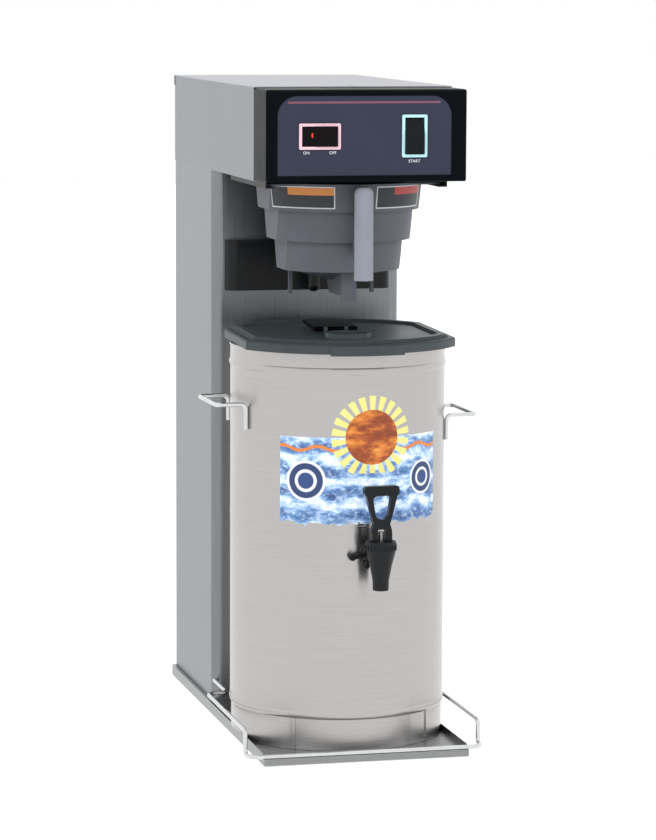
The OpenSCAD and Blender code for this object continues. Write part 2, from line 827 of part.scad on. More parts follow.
module dilution_tube() {
    z0 = inlet_z();
    y0 = valve_y + valve_reach;
    x_side = -(wrap_in - 26);
    color("#e8e6df") bent_tube([
        [0, y0, nozzle_z], [0, y0 + 6, nozzle_z], [x_side, y0 + 6, nozzle_z], [x_side, y0 + 6, z0],
        [inlet_x(), y0 + 6, z0], [inlet_x(), inlet_valve_y - valve_reach + 1, z0]
    ], 3.8, 1.2, 5);
}

// Hot water side

module water_tank() {
    ring_h = 6;
    color("silver") difference() {
        union() {
            translate([0, tank_y, tank_z]) cylinder(r = tank_r, h = tank_h);
            translate([0, tank_y, tank_top - ring_h]) cylinder(r = tank_r + 6, h = ring_h);
        }
        translate([0, tank_y, tank_z + tank_wall]) cylinder(r = tank_r - tank_wall, h = tank_h);
        // Cold water inlet
        translate([-40, tank_y + 30, tank_z - over]) cylinder(r = 5 + seat_gap, h = tank_wall + 2 * over);
    }
}

module tank_shelf() {
    edge = 16;
    y0 = trunk_front + trunk_r + 1;
    y1 = trunk_back - trunk_sheet - 10;
    color("#b9bcbf") difference() {
        block([-wrap_in, y0, shelf_z - edge], [wrap_in, y1, tank_z]);
        block([-wrap_in + 2, y0 + 2, shelf_z - edge - over], [wrap_in - 2, y1 - 2, shelf_z]);
        translate([-40, tank_y + 30, shelf_z - over]) cylinder(r = 9, h = tank_z - shelf_z + 2 * over);
        // The dilution tube rises through this slot
        block([-wrap_in + 14, y0 - over, shelf_z - edge - over], [-wrap_in + 46, tank_y - 44, tank_z + over]);
    }
}

module tank_gasket() {
    color("#8c3b2e") translate([0, tank_y, tank_top]) difference() {
        cylinder(r = tank_r + 5, h = gasket_t);
        translate([0, 0, -over]) cylinder(r = tank_r - 5, h = gasket_t + 2 * over);
    }
}

function element_legs() = [[-22, tank_y + 40], [22, tank_y + 40]];

module tank_lid() {
    color("#cfd1d3") difference() {
        union() {
            translate([0, tank_y, tank_lid_z]) cylinder(r = tank_r + 6, h = tank_lid_t);
            // Outlet nipple for the spray tube
            translate([0, tank_y - 30, tank_lid_z]) cylinder(r = 6, h = 22);
        }
        translate([0, tank_y - 30, tank_lid_z - over]) cylinder(r = 4.4, h = 22 + 2 * over);
        for (p = element_legs())
            translate([p[0], p[1], tank_lid_z - over]) cylinder(r = 6 + seat_gap, h = tank_lid_t + 2 * over);
        translate([-50, tank_y, tank_lid_z - over]) cylinder(r = 5 + seat_gap, h = tank_lid_t + 2 * over);
    }
}

module heating_element() {
    low = tank_z + 30;
    top = tank_lid_z + 26;
    a = element_legs()[0];
    b = element_legs()[1];
    color("#8a8f94") {
        bent_rod([
            [a[0], a[1], top], [a[0], a[1], low], [a[0], tank_y - 50, low],
            [b[0], tank_y - 50, low], [b[0], b[1], low], [b[0], b[1], top]
        ], 4, 14);
        for (p = element_legs()) {
            translate([p[0], p[1], tank_lid_z - 6]) cylinder(r = 6, h = 20);
            translate([p[0], p[1], tank_lid_z + tank_lid_t]) cylinder(r = 10, h = 5, $fn = 6);
        }
    }
}

module temperature_probe() {
    color("#d9dadb") translate([-50, tank_y, 0]) {
        translate([0, 0, tank_lid_z - 60]) cylinder(r = 3, h = 80);
        translate([0, 0, tank_lid_z - 4]) cylinder(r = 5, h = 16);
        translate([0, 0, tank_lid_z + tank_lid_t]) cylinder(r = 9, h = 6, $fn = 6);
    }
}

module inlet_fitting() {
    y0 = trunk_back - 30;
    y1 = trunk_back + panel_t;
    // A flare nipple outside, a hex against the panel, and a tail that screws into the valve
    color("#c8a24a") translate([inlet_x(), 0, inlet_z()]) difference() {
        union() {
            rod([0, y0, 0], [0, y1 - 0.2, 0], 9);
            rod([0, y0 - 14, 0], [0, y0, 0], 4 - seat_gap / 2);
            translate([0, trunk_back, 0]) rotate([90, 0, 0]) cylinder(r = 14, h = 6, $fn = 6);
        }
        rod([0, y0 - 16, 0], [0, y1 + over, 0], 2.5);
        // Female thread for the supply line, sunk so that nothing stands behind the panel
        rod([0, y1 - 14, 0], [0, y1 + over, 0], 5.55);
    }
}

module inlet_valve() {
    translate([inlet_x(), inlet_valve_y, inlet_z()]) valve_shape();
}

module inlet_tube() {
    y0 = inlet_valve_y;
    color("#e8e6df") {
        bent_tube([
            [inlet_x() - 13, y0, inlet_z()], [inlet_x() - 26, y0, inlet_z()],
            [inlet_x() - 26, y0, shelf_z - 44], [-40, y0, shelf_z - 44],
            [-40, tank_y + 30, shelf_z - 44], [-40, tank_y + 30, tank_z + 12]
        ], 5, 1.2, 8);
    }
}

module timer_board() {
    z0 = hood_bottom + plate_t;
    z1 = z0 + 10;
    x = 70;
    y0 = -hood_front + 23.5;
    y1 = y0 + 30;
    color("#2f6b46") {
        for (sx = [-x + 6, x - 6], sy = [y0 + 5, y1 - 5])
            translate([sx, sy, z0]) cylinder(r = 3, h = 10);
        block([-x, y0, z1], [x, y1, z1 + 1.6]);
    }
    color("#20242a") {
        block([-40, y0 + 6, z1 + 1.6], [-12, y1 - 6, z1 + 18]);
        block([4, y0 + 6, z1 + 1.6], [24, y1 - 6, z1 + 16]);
        translate([50, (y0 + y1) / 2, z1 + 1.6]) cylinder(r = 7, h = 20);
    }
}

module terminal_block() {
    ways = 5;
    color("#2a2c30") difference() {
        block([30, 120, deck_z], [30 + ways * 14, 152, deck_z + 26]);
        for (i = [0 : ways - 1])
            translate([37 + i * 14, 136, deck_z + 12]) cylinder(r = 4, h = 15);
    }
}

// Brew basket

module tier(z0, h, r_top) {
    r_low = r_top - tier_taper;
    c = r_low * cos(flat_angle);
    intersection() {
        translate([0, axis_y, z0]) cylinder(r1 = r_low, r2 = r_top, h = h);
        block([-c, axis_y - 2 * r_top, z0 - over], [c, axis_y + 2 * r_top, z0 + h + over]);
    }
}

// The spout seen from the side, as y and z, without its front lip
module spout_side(inset) {
    y_front = axis_y - spout_y - 15 + inset;
    y_back = axis_y + 19 - inset;
    z_floor = spout_tip_z + spout_lip + inset;
    top = tier_z3 - 0.6;
    polygon([
        [y_front, z_floor], [y_back - 12, z_floor], [y_back, z_floor + 12], [y_back, top], [y_front, top]
    ]);
}

module brew_basket() {
    leg_x = tier_r3 - 30.5;
    leg_y = axis_y + 38;
    leg = 2.5;
    lug_w = 7;
    color("#6b6e75") {
        difference() {
            union() {
                tier(tier_z1, tier_h1, tier_r1);
                tier(tier_z2, tier_h2, tier_r2);
                tier(tier_z3, tier_h2, tier_r3);
                // Flange that rides on the rails
                block([-flange_x, axis_y - 84, basket_top - flange_t], [flange_x, axis_y + 84, basket_top]);
                // Sloped floor
                translate([0, axis_y, tier_z3 - cone_h])
                    cylinder(r1 = cone_r, r2 = tier_r3 - tier_taper - 9, h = cone_h);
                // Spout
                translate([-spout_w / 2, 0, 0]) rotate([90, 0, 90]) linear_extrude(spout_w) spout_side(0);
                block([-spout_w / 2, axis_y - spout_y - 15, spout_tip_z],
                      [spout_w / 2, axis_y - spout_y - 15 + basket_wall, spout_tip_z + 12]);
                // Rear legs
                for (s = [-1, 1])
                    block([s * leg_x - leg, leg_y - leg, spout_tip_z + 3.5], [s * leg_x + leg, leg_y + leg, tier_z3 + 2]);
                // Lug that carries the grip
                block([-lug_w / 2, axis_y - grip_y + 2, basket_top - 92],
                      [lug_w / 2, axis_y - tier_r2 + 12, basket_top - 4]);
            }
            // Inside
            tier_hollow(tier_z1 + basket_wall, tier_h1 + over, tier_r1);
            tier_hollow(tier_z2 + basket_wall, tier_h2 + 0.01, tier_r2);
            tier_hollow(tier_z3 + basket_wall, tier_h2 + 0.01, tier_r3);
            translate([0, axis_y, tier_z3 - cone_h + basket_wall])
                cylinder(r1 = cone_r - basket_wall, r2 = tier_r3 - tier_taper - 9 - basket_wall, h = cone_h + 0.01);
            translate([-spout_w / 2 + basket_wall, 0, 0]) rotate([90, 0, 90])
                linear_extrude(spout_w - 2 * basket_wall) spout_side(basket_wall);
            translate([0, axis_y - spout_y, spout_tip_z + spout_lip - over]) cylinder(r = 6, h = basket_wall + 2 * over);
        }
    }
}

module tier_hollow(z0, h, r_top) {
    r = r_top - basket_wall;
    r_low = r - tier_taper;
    c = (r_top - tier_taper) * cos(flat_angle) - basket_wall;
    intersection() {
        translate([0, axis_y, z0]) cylinder(r1 = r_low, r2 = r, h = h);
        block([-c, axis_y - 2 * r, z0 - over], [c, axis_y + 2 * r, z0 + h + over]);
    }
}

module basket_grip() {
    y = axis_y - grip_y;
    z1 = basket_top - 2;
    z0 = z1 - grip_h;
    wall = 2.4;
    dome = 9;
    color("#a0a4ad") difference() {
        union() {
            translate([0, y, z0]) cylinder(r = grip_r, h = grip_h - dome);
            // Domed top
            translate([0, y, z1 - dome]) intersection() {
                sphere(r = grip_r);
                block([-grip_r, -grip_r, 0], [grip_r, grip_r, dome]);
            }
        }
        translate([0, y, z0 - over]) cylinder(r = grip_r - wall, h = grip_h - dome - wall);
        // Slot that slides over the basket's lug
        block([-3.5 - seat_gap, y, basket_top - 92 - seat_gap], [3.5 + seat_gap, y + grip_r + over, basket_top - 4 + seat_gap]);
    }
}

module wire_filter_basket() {
    $fn = 48;
    wire = 1.2;
    r = (tier_r3 - tier_taper) * cos(flat_angle) - basket_wall - 2;
    z0 = tier_z3 + basket_wall + 0.3;
    h = 52;
    spokes = 12;
    color("gainsboro") translate([0, axis_y, z0]) {
        for (z = [wire, h / 2, h - wire])
            translate([0, 0, z]) rotate_extrude() translate([r, 0]) circle(r = wire, $fn = 24);
        for (i = [0 : spokes - 1]) {
            a = i * 360 / spokes;
            rod([(r - 0.4) * cos(a), (r - 0.4) * sin(a), wire], [(r - 0.4) * cos(a), (r - 0.4) * sin(a), h - wire], 0.9);
        }
        for (i = [0 : 3]) rotate([0, 0, i * 45 + 22.5]) rod([-r, 0, wire], [r, 0, wire], 0.9);
    }
}

// Dispenser can. Drawn about its own axis with the faucet at -Y, then turned and set on the deck.

module at_can() {
    translate([0, axis_y, 0]) rotate([0, 0, can_turn]) children();
}

// Half section of a bead that stands out of a wall of radius r0, with its middle at z
module bead(r0, z, r, out) {
    intersection() {
        translate([r0 + out - r, z]) circle(r = r);
        translate([r0 - can_wall, z - r]) square([out + can_wall, 2 * r]);
    }
}

module can_shell() {
    color("silver") at_can() difference() {
        rotate_extrude() {
            translate([can_r - can_wall, wall_z - 2]) square([can_wall, can_top_z - 1.4 - wall_z + 2]);
            bead(can_r, wall_z + 2, 9, 1);
            bead(can_r, seam_z, 2.5, 0.3);
            bead(can_r, bead_z, 9, 1.4);
            translate([can_r - 0.4, can_top_z - 1.4]) circle(r = 1.4);
        }
        translate([0, -can_r + 6, shank_z]) rotate([90, 0, 0]) cylinder(r = 8 + seat_gap, h = 12);
    }
}

module can_bottom() {
    dish = 8;
    r = can_r - can_wall - seat_gap;
    color("#c4c6c8") at_can() difference() {
        union() {
            translate([0, 0, wall_z - dish]) cylinder(r1 = r - 30, r2 = r - 12, h = dish);
            translate([0, 0, wall_z]) cylinder(r = r, h = can_wall);
        }
        translate([0, 0, wall_z - dish + can_wall]) cylinder(r1 = r - 30, r2 = r - 12, h = dish + 0.01);
    }
}

module foot_outline(inset) {
    half = can_foot_r - foot_flat - inset;
    intersection() {
        circle(r = can_foot_r - inset);
        rotate(-can_turn) square([2 * half, 2 * can_foot_r], center = true);
    }
}

module can_foot_ring() {
    front_half = 40;
    inset = 1.6;
    ring_z = pan_wall_h + 0.3;
    color("#bdbfc2") at_can() difference() {
        union() {
            translate([0, 0, ring_z]) cylinder(r = can_foot_r, h = wall_z - ring_z);
            // Between the pan's walls the ring is flat at each side
            translate([0, 0, can_z]) linear_extrude(ring_z + 1 - can_z) foot_outline(0);
        }
        translate([0, 0, ring_z + 1]) cylinder(r = can_foot_r - inset - can_wall, h = can_foot_h);
        translate([0, 0, can_z - over]) linear_extrude(ring_z + 2 - can_z) foot_outline(inset + can_wall);
        // The front of the ring is set back between two upright edges
        rotate([0, 0, -90 - front_half]) translate([0, 0, can_z - over]) rotate_extrude(angle = 2 * front_half)
            translate([can_foot_r - inset, 0]) square([inset + over, can_foot_h - 1 + over]);
    }
}

module can_handle(s) {
    r = handle_d / 2;
    half = handle_w / 2;
    // Rounded to a hundredth, so that the wire's pieces meet exactly
    x_wall = ceil(100 * sqrt(pow(can_r + r + 0.03, 2) - half * half)) / 100;
    x_out = can_r + handle_out;
    leg = 33;
    z = handle_z - (s > 0 ? handle_drop : 0);
    color("#dcdee0") at_can() rotate([0, 0, -handle_turn]) mirror([s < 0 ? 1 : 0, 0, 0]) bent_rod([
        [x_wall, half, z - leg], [x_wall, half, z], [x_out, half, z],
        [x_out, -half, z], [x_wall, -half, z], [x_wall, -half, z - leg]
    ], r, 7);
}

module can_handle_left() {
    can_handle(-1);
}

module can_handle_right() {
    can_handle(1);
}

// Faucet, drawn with the can

module faucet_shank() {
    y_in = -can_r + 22;
    y_out = faucet_y + 16.5;
    color("#8f9396") at_can() translate([0, 0, shank_z]) difference() {
        union() {
            rod([0, y_in, 0], [0, y_out, 0], 8);
            // Head inside the can
            rod([0, -can_r + can_wall + 3.8, 0], [0, -can_r + can_wall + 9.4, 0], 14);
        }
        rod([0, y_in + over, 0], [0, y_out - over, 0], 5);
    }
}

module shank_washers() {
    color("#3a3d40") at_can() translate([0, 0, shank_z]) for (p = [[can_r + 2.9, 12.5], [can_r - can_wall - 0.9, 13]])
        difference() {
            translate([0, -p[0], 0]) rotate([-90, 0, 0]) cylinder(r = p[1], h = 2.6);
            translate([0, -p[0] - over, 0]) rotate([-90, 0, 0]) cylinder(r = 8 + seat_gap, h = 2.6 + 2 * over);
        }
}

module wing_nut() {
    hub = 12;
    y1 = -can_r - 3.2;
    depth = 10;
    color("#1f2325") at_can() translate([0, y1, shank_z]) rotate([90, 0, 0]) difference() {
        union() {
            cylinder(r = hub, h = depth);
            for (a = [8, 188]) rotate([0, 0, a]) {
                translate([6, -3, 1]) cube([20, 6, depth - 3]);
                translate([27, 0, 1]) cylinder(r = 4.6, h = depth - 3);
            }
            rotate([0, 0, 248]) translate([6, -3, 1]) cube([15, 6, depth - 4]);
        }
        translate([0, 0, -over]) cylinder(r = 8 + seat_gap, h = depth + 2 * over);
    }
}

module faucet_body() {
    z_seat = shank_z - 8;
    z_waist = shank_z - 9;
    z_nose = shank_z - 29;
    z_tip = shank_z - 42;
    z_cap = bonnet_z - bonnet_h - 0.2;
    color("#24292b") at_can() translate([0, faucet_y, 0]) difference() {
        union() {
            translate([0, 0, z_tip]) cylinder(r1 = 10.3, r2 = 10.7, h = z_nose - z_tip);
            translate([0, 0, z_nose]) cylinder(r1 = 10.7, r2 = 14.5, h = z_waist - z_nose);
            translate([0, 0, z_waist]) cylinder(r1 = 14.5, r2 = bonnet_r - 0.8, h = z_cap - z_waist);
            translate([0, 0, z_cap]) cylinder(r = bonnet_r - 2.5, h = body_top - z_cap);
            rod([0, 0, shank_z], [0, -faucet_y - can_r - 13.6, shank_z], 10.6);
        }
        translate([0, 0, z_seat]) cylinder(r1 = 12, r2 = bonnet_r - 4.5, h = body_top - z_seat + 0.01);
        translate([0, 0, z_tip - over]) cylinder(r = 8, h = z_seat - z_tip + 2 * over);
        rod([0, 4, shank_z + 1], [0, -faucet_y - can_r + over, shank_z + 1], 4);
        // Socket for the shank
        rod([0, 16, shank_z], [0, -faucet_y - can_r + over, shank_z], 8 + seat_gap);
    }
}

module faucet_bonnet() {
    ribs = 24;
    color("#24292b") at_can() translate([0, faucet_y, 0]) difference() {
        union() {
            translate([0, 0, bonnet_z - bonnet_h]) cylinder(r = bonnet_r - 0.7, h = bonnet_h - 4);
            translate([0, 0, bonnet_z - 4]) cylinder(r1 = bonnet_r, r2 = bonnet_r - 1.5, h = 4);
            // Grip ribs
            for (i = [0 : ribs - 1]) rotate([0, 0, i * 360 / ribs])
                translate([bonnet_r - 1.2, -0.8, bonnet_z - bonnet_h]) cube([1.2, 1.6, bonnet_h - 4]);
        }
        translate([0, 0, bonnet_z - bonnet_h - over])
            cylinder(r = bonnet_r - 2.5 + seat_gap, h = bonnet_h - bonnet_in + over);
        translate([0, 0, bonnet_z - bonnet_h - over]) cylinder(r = stem_r + fit_gap, h = bonnet_h + 2 * over);
    }
}

module faucet_stem() {
    z0 = shank_z - 6;
    color("#d0d2d4") at_can() translate([0, faucet_y, 0]) difference() {
        union() {
            translate([0, 0, z0]) cylinder(r = stem_r, h = lever_pin_z + 3.5 - z0);
            translate([0, 0, z0 + 5]) cylinder(r = 6, h = 1.5);
        }
        translate([-stem_r - over, 0, lever_pin_z]) rotate([0, 90, 0])
            cylinder(r = lever_pin_r + seat_gap / 2, h = 2 * (stem_r + over));
    }
}

module seat_cup() {
    z0 = shank_z - 7.7;
    color("#7a4a3a") at_can() translate([0, faucet_y, 0]) difference() {
        union() {
            translate([0, 0, z0]) cylinder(r1 = 9, r2 = 11.5, h = 2.4);
            translate([0, 0, z0 + 2.4]) cylinder(r1 = 11.5, r2 = 7, h = 4.2);
        }
        translate([0, 0, z0 + 1.7]) cylinder(r = stem_r + seat_gap / 2, h = 8);
    }
}

// Outline of the faucet handle seen from the front, with z = 0 at its foot
module lever_outline() {
    foot = lever_foot_w / 2;
    neck = 11;
    shoulder = 27;
    bar_z = lever_h - 13.5;
    corner = 4;
    top = lever_w / 2;
    win_top = 11.5;
    win_low = 9.3;
    win_z = shoulder + 10.6;
    difference() {
        union() {
            polygon([
                [-foot, 0], [foot, 0], [foot, 14], [neck, shoulder - 5], [neck + 1.5, shoulder],
                [top - 3, bar_z], [top, bar_z + corner], [top, lever_h - corner], [top - corner, lever_h],
                [-top + corner, lever_h], [-top, lever_h - corner], [-top, bar_z + corner], [-top + 3, bar_z],
                [-neck - 1.5, shoulder], [-neck, shoulder - 5], [-foot, 14]
            ]);
            for (s = [-1, 1]) translate([s * (top - corner), lever_h - corner]) circle(r = corner);
        }
        // Finger window
        polygon([
            [-win_low, win_z], [win_low, win_z], [win_top, bar_z - 8], [win_top, bar_z - 2],
            [win_top - 3, bar_z + 1], [-win_top + 3, bar_z + 1], [-win_top, bar_z - 2], [-win_top, bar_z - 8]
        ]);
        translate([0, win_z]) circle(r = win_low + 0.1);
    }
}

module faucet_handle() {
    gap = 0.3;
    grip_t = 9;
    foot_t = 11;
    pin_up = lever_pin_h - gap;
    x = lever_foot_w / 2;
    color("#1b1f21") at_can() translate([0, faucet_y, bonnet_z + gap]) difference() {
        union() {
            translate([0, grip_t / 2, 0]) rotate([90, 0, 0]) linear_extrude(grip_t) lever_outline();
            // Flat foot: its edge levers the stem up off the seat as the handle tips
            block([-x, -foot_t / 2, 0], [x, foot_t / 2, pin_up + 2]);
        }
        // Slot for the stem's head
        block([-stem_r - 2, -foot_t, -over], [stem_r + 2, foot_t, pin_up + 6.5]);
        rod([-x - over, 0, pin_up], [x + over, 0, pin_up], lever_pin_r + seat_gap / 2);
    }
}

module lever_pin() {
    x = lever_foot_w / 2 - 0.3;
    color("#c9cbcd") at_can() rod([-x, faucet_y, lever_pin_z], [x, faucet_y, lever_pin_z], lever_pin_r);
}

// Lid. Drawn about its own middle, then turned and set over the can.

module at_lid() {
    translate([0, lid_y, 0]) rotate([0, 0, lid_turn]) children();
}

// Within the lid's frame: the middle of the can's mouth
module at_mouth() {
    rotate([0, 0, -lid_turn]) translate([0, lid_shift, 0]) children();
}

// The lid's outline: round ends and flat sides
module lid_outline(inset) {
    intersection() {
        circle(r = lid_r - inset);
        square([2 * (lid_flat - inset), 2 * lid_r], center = true);
    }
}

module lid_layer(z0, z1, inset) {
    translate([0, 0, z0]) linear_extrude(z1 - z0) lid_outline(inset);
}

module can_lid() {
    tab_half = 17.5;
    edge = 9;
    border = 15;
    ear_x = 14;
    // Radius of the ring that rests on the can's rim, and of the plug that reaches into its mouth
    seat_r = can_r + 1;
    plug_r = can_r - can_wall - 1.5;
    color("#3c4649") at_lid() difference() {
        union() {
            difference() {
                union() {
                    lid_layer(lid_low, lid_rim - 2, 0);
                    lid_layer(lid_rim - 2, lid_rim - 0.8, 0.6);
                    lid_layer(lid_rim - 0.8, lid_rim, 1.6);
                    lid_layer(lid_rim, lid_rim + lid_crown / 3, edge);
                    lid_layer(lid_rim, lid_top - lid_crown / 3, edge + 1.5);
                    lid_layer(lid_rim, lid_top, edge + 3.5);
                }
                // Middle, lower than the border
                lid_layer(lid_floor, lid_top + over, edge + border);
                lid_layer(lid_floor + lid_dish / 2, lid_top + over, edge + border - 2);
                // Underside
                lid_layer(lid_low - over, lid_under, lid_t);
            }
            // Thicker tab at the front
            rotate([0, 0, -90 - tab_half - lid_turn]) rotate_extrude(angle = 2 * tab_half)
                translate([lid_r - 3, lid_low - 2]) square([6, lid_skirt_h + 0.5]);
            intersection() {
                lid_layer(lid_low + 0.2, lid_rim - 1.8, 1);
                at_mouth() difference() {
                    translate([0, 0, lid_low]) cylinder(r = seat_r, h = lid_skirt_h - 1);
                    translate([0, 0, lid_low - over]) cylinder(r = plug_r - 2, h = lid_skirt_h + over);
                }
            }
            at_mouth() difference() {
                translate([0, 0, lid_low - 9]) cylinder(r = plug_r, h = 10);
                translate([0, 0, lid_low - 9 - over]) cylinder(r = plug_r - 2, h = 10 + 2 * over);
            }
            // Collar round the brew-through hole
            translate([0, -collar_y, lid_under])
                cylinder(r1 = collar_r + 6, r2 = collar_r + 4.5, h = lid_top + 1.7 - lid_under);
            // Ears that hold the flap's pin
            for (s = [-1, 1]) translate([flap_x + s * ear_x - 2.5, flap_y, 0]) {
                block([0, -3.2, lid_floor - 1], [5, 3.2, flap_z]);
                rod([0, 0, flap_z], [5, 0, flap_z], 3.2);
            }
        }
        translate([0, -collar_y, lid_low - over]) cylinder(r = collar_r, h = 40);
        rod([flap_x - flap_w, flap_y, flap_z], [flap_x + flap_w, flap_y, flap_z], flap_pin_r + fit_gap);
    }
}

module at_flap() {
    at_lid() translate([flap_x, flap_y, flap_z]) children();
}

module lid_flap() {
    half = flap_w / 2;
    slot = 6;
    ear_x = 14;
    barrel_r = 2.8;
    color("#0c0e10") at_flap() rotate([flap_rest, 0, 0]) difference() {
        union() {
            translate([0, 0, -flap_t / 2]) linear_extrude(flap_t)
                round_rect(-half, 0, half, flap_l, [0, 0, 14, 4]);
            rod([-half, 0, 0], [half, 0, 0], barrel_r);
        }
        rod([-half - over, 0, 0], [half + over, 0, 0], flap_pin_r + fit_gap);
        // Room for the lid's ears
        for (s = [-1, 1]) block([s * ear_x - slot / 2, -6, -6], [s * ear_x + slot / 2, 4.2, 6]);
    }
}

module flap_pin() {
    half = flap_w / 2 - 1;
    color("#c9cbcd") at_flap() rod([-half, 0, 0], [half, 0, 0], flap_pin_r);
}

base_pan();
rubber_feet();
guide_rail();
trunk_wrap();
front_panel();
rear_panel();
panel_screws();
cord_gland();
hood_shell();
hood_bottom();
top_cover();
cover_screws();
bezel();
label_panel();
power_switch_body();
power_rocker();
start_switch_body();
start_rocker();
basket_rail_left();
basket_rail_right();
sprayhead();
spray_tube();
nozzle_cover();
dilution_nozzle();
dilution_valve();
dilution_tube();
water_tank();
tank_shelf();
tank_gasket();
tank_lid();
heating_element();
temperature_probe();
inlet_fitting();
inlet_valve();
inlet_tube();
timer_board();
terminal_block();
brew_basket();
basket_grip();
wire_filter_basket();
can_shell();
can_bottom();
can_foot_ring();
can_handle_left();
can_handle_right();
faucet_shank();
shank_washers();
wing_nut();
faucet_body();
faucet_bonnet();
faucet_stem();
seat_cup();
faucet_handle();
lever_pin();
can_lid();
lid_flap();
flap_pin();
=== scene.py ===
import math

import bpy
from mathutils import Matrix, Vector


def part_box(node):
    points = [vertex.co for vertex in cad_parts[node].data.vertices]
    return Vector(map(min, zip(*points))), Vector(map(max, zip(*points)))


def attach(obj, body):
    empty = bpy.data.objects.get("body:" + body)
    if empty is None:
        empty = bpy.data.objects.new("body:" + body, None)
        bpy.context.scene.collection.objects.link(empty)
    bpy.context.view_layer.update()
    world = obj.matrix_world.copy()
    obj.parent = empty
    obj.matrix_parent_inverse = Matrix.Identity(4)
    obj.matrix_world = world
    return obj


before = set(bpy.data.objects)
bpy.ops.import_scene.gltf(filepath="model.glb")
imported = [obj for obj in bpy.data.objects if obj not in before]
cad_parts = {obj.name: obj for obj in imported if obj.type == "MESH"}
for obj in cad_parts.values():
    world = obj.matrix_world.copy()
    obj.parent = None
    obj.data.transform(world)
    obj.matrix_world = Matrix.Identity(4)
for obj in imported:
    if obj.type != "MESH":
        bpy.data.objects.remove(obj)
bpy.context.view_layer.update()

bpy.ops.object.select_all(action="DESELECT")
mm = 0.001
print("frame loaded:", len(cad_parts), "nodes")


# Camera

cameraView = {
    "place": (-1.10884, -4.59798, 1.01757),
    "turn": 13.797,      # degrees to the right of straight at the front
    "tip": 7.305,        # degrees down
    "lean": 0.251,
    "lens": 148.93,
}


def addCamera():
    data = bpy.data.cameras.new("camera")
    data.lens = cameraView["lens"]
    data.sensor_width = 36
    data.clip_end = 60
    cam = bpy.data.objects.new("camera", data)
    bpy.context.scene.collection.objects.link(cam)
    turn = Matrix.Rotation(math.radians(-cameraView["turn"]), 4, "Z")
    tip = Matrix.Rotation(math.radians(90 - cameraView["tip"]), 4, "X")
    lean = Matrix.Rotation(math.radians(cameraView["lean"]), 4, "Z")
    cam.matrix_world = Matrix.Translation(cameraView["place"]) @ turn @ tip @ lean
    bpy.context.scene.camera = cam


addCamera()
print("camera placed")


# Node helpers

def put(tree, kind, at, **values):
    node = tree.nodes.new(kind)
    node.location = (at[0] * 200, at[1] * -220)
    for key, value in values.items():
        setattr(node, key, value)
    return node


def math2(tree, at, operation, a, b=None, c=None, clamp=False):
    node = put(tree, "ShaderNodeMath", at, operation=operation, use_clamp=clamp)
    for i, value in enumerate((a, b, c)):
        if value is None:
            continue
        if hasattr(value, "node"):
            tree.links.new(value, node.inputs[i])
        else:
            node.inputs[i].default_value = value
    return node.outputs[0]


def ramp(tree, at, source, stops):
    node = put(tree, "ShaderNodeValToRGB", at)
    while len(node.color_ramp.elements) < len(stops):
        node.color_ramp.elements.new(0.5)
    for element, (position, colour) in zip(node.color_ramp.elements, stops):
        element.position = position
        element.color = (*colour, 1)
    tree.links.new(source, node.inputs[0])
    return node.outputs[0]


def mixColour(tree, at, factor, a, b, blend="MIX"):
    node = put(tree, "ShaderNodeMix", at, data_type="RGBA", blend_type=blend)
    for socket, value in ((0, factor), (6, a), (7, b)):
        if hasattr(value, "node"):
            tree.links.new(value, node.inputs[socket])
        elif socket == 0:
            node.inputs[0].default_value = value
        else:
            node.inputs[socket].default_value = (*value, 1)
    return node.outputs[2]


def noise(tree, at, stretch, scale, detail=3.0, roughness=0.5):
    where = put(tree, "ShaderNodeTexCoord", (at[0] - 2, at[1]))
    mapping = put(tree, "ShaderNodeMapping", (at[0] - 1, at[1]))
    mapping.inputs["Scale"].default_value = stretch
    node = put(tree, "ShaderNodeTexNoise", at)
    node.inputs["Scale"].default_value = scale
    node.inputs["Detail"].default_value = detail
    node.inputs["Roughness"].default_value = roughness
    tree.links.new(where.outputs["Object"], mapping.inputs["Vector"])
    tree.links.new(mapping.outputs[0], node.inputs["Vector"])
    return node.outputs["Fac"]


bumpReach = 0.0002  # metres


def bump(tree, at, height, strength):
    node = put(tree, "ShaderNodeBump", at)
    node.inputs["Strength"].default_value = strength
    node.inputs["Distance"].default_value = bumpReach
    tree.links.new(height, node.inputs["Height"])
    return node.outputs[0]


def newMaterial(name):
    material = bpy.data.materials.new(name)
    material.use_nodes = True
    tree = material.node_tree
    shader = tree.nodes["Principled BSDF"]
    shader.location = (600, 0)
    tree.nodes["Material Output"].location = (900, 0)
    return material, tree, shader


# Finishes

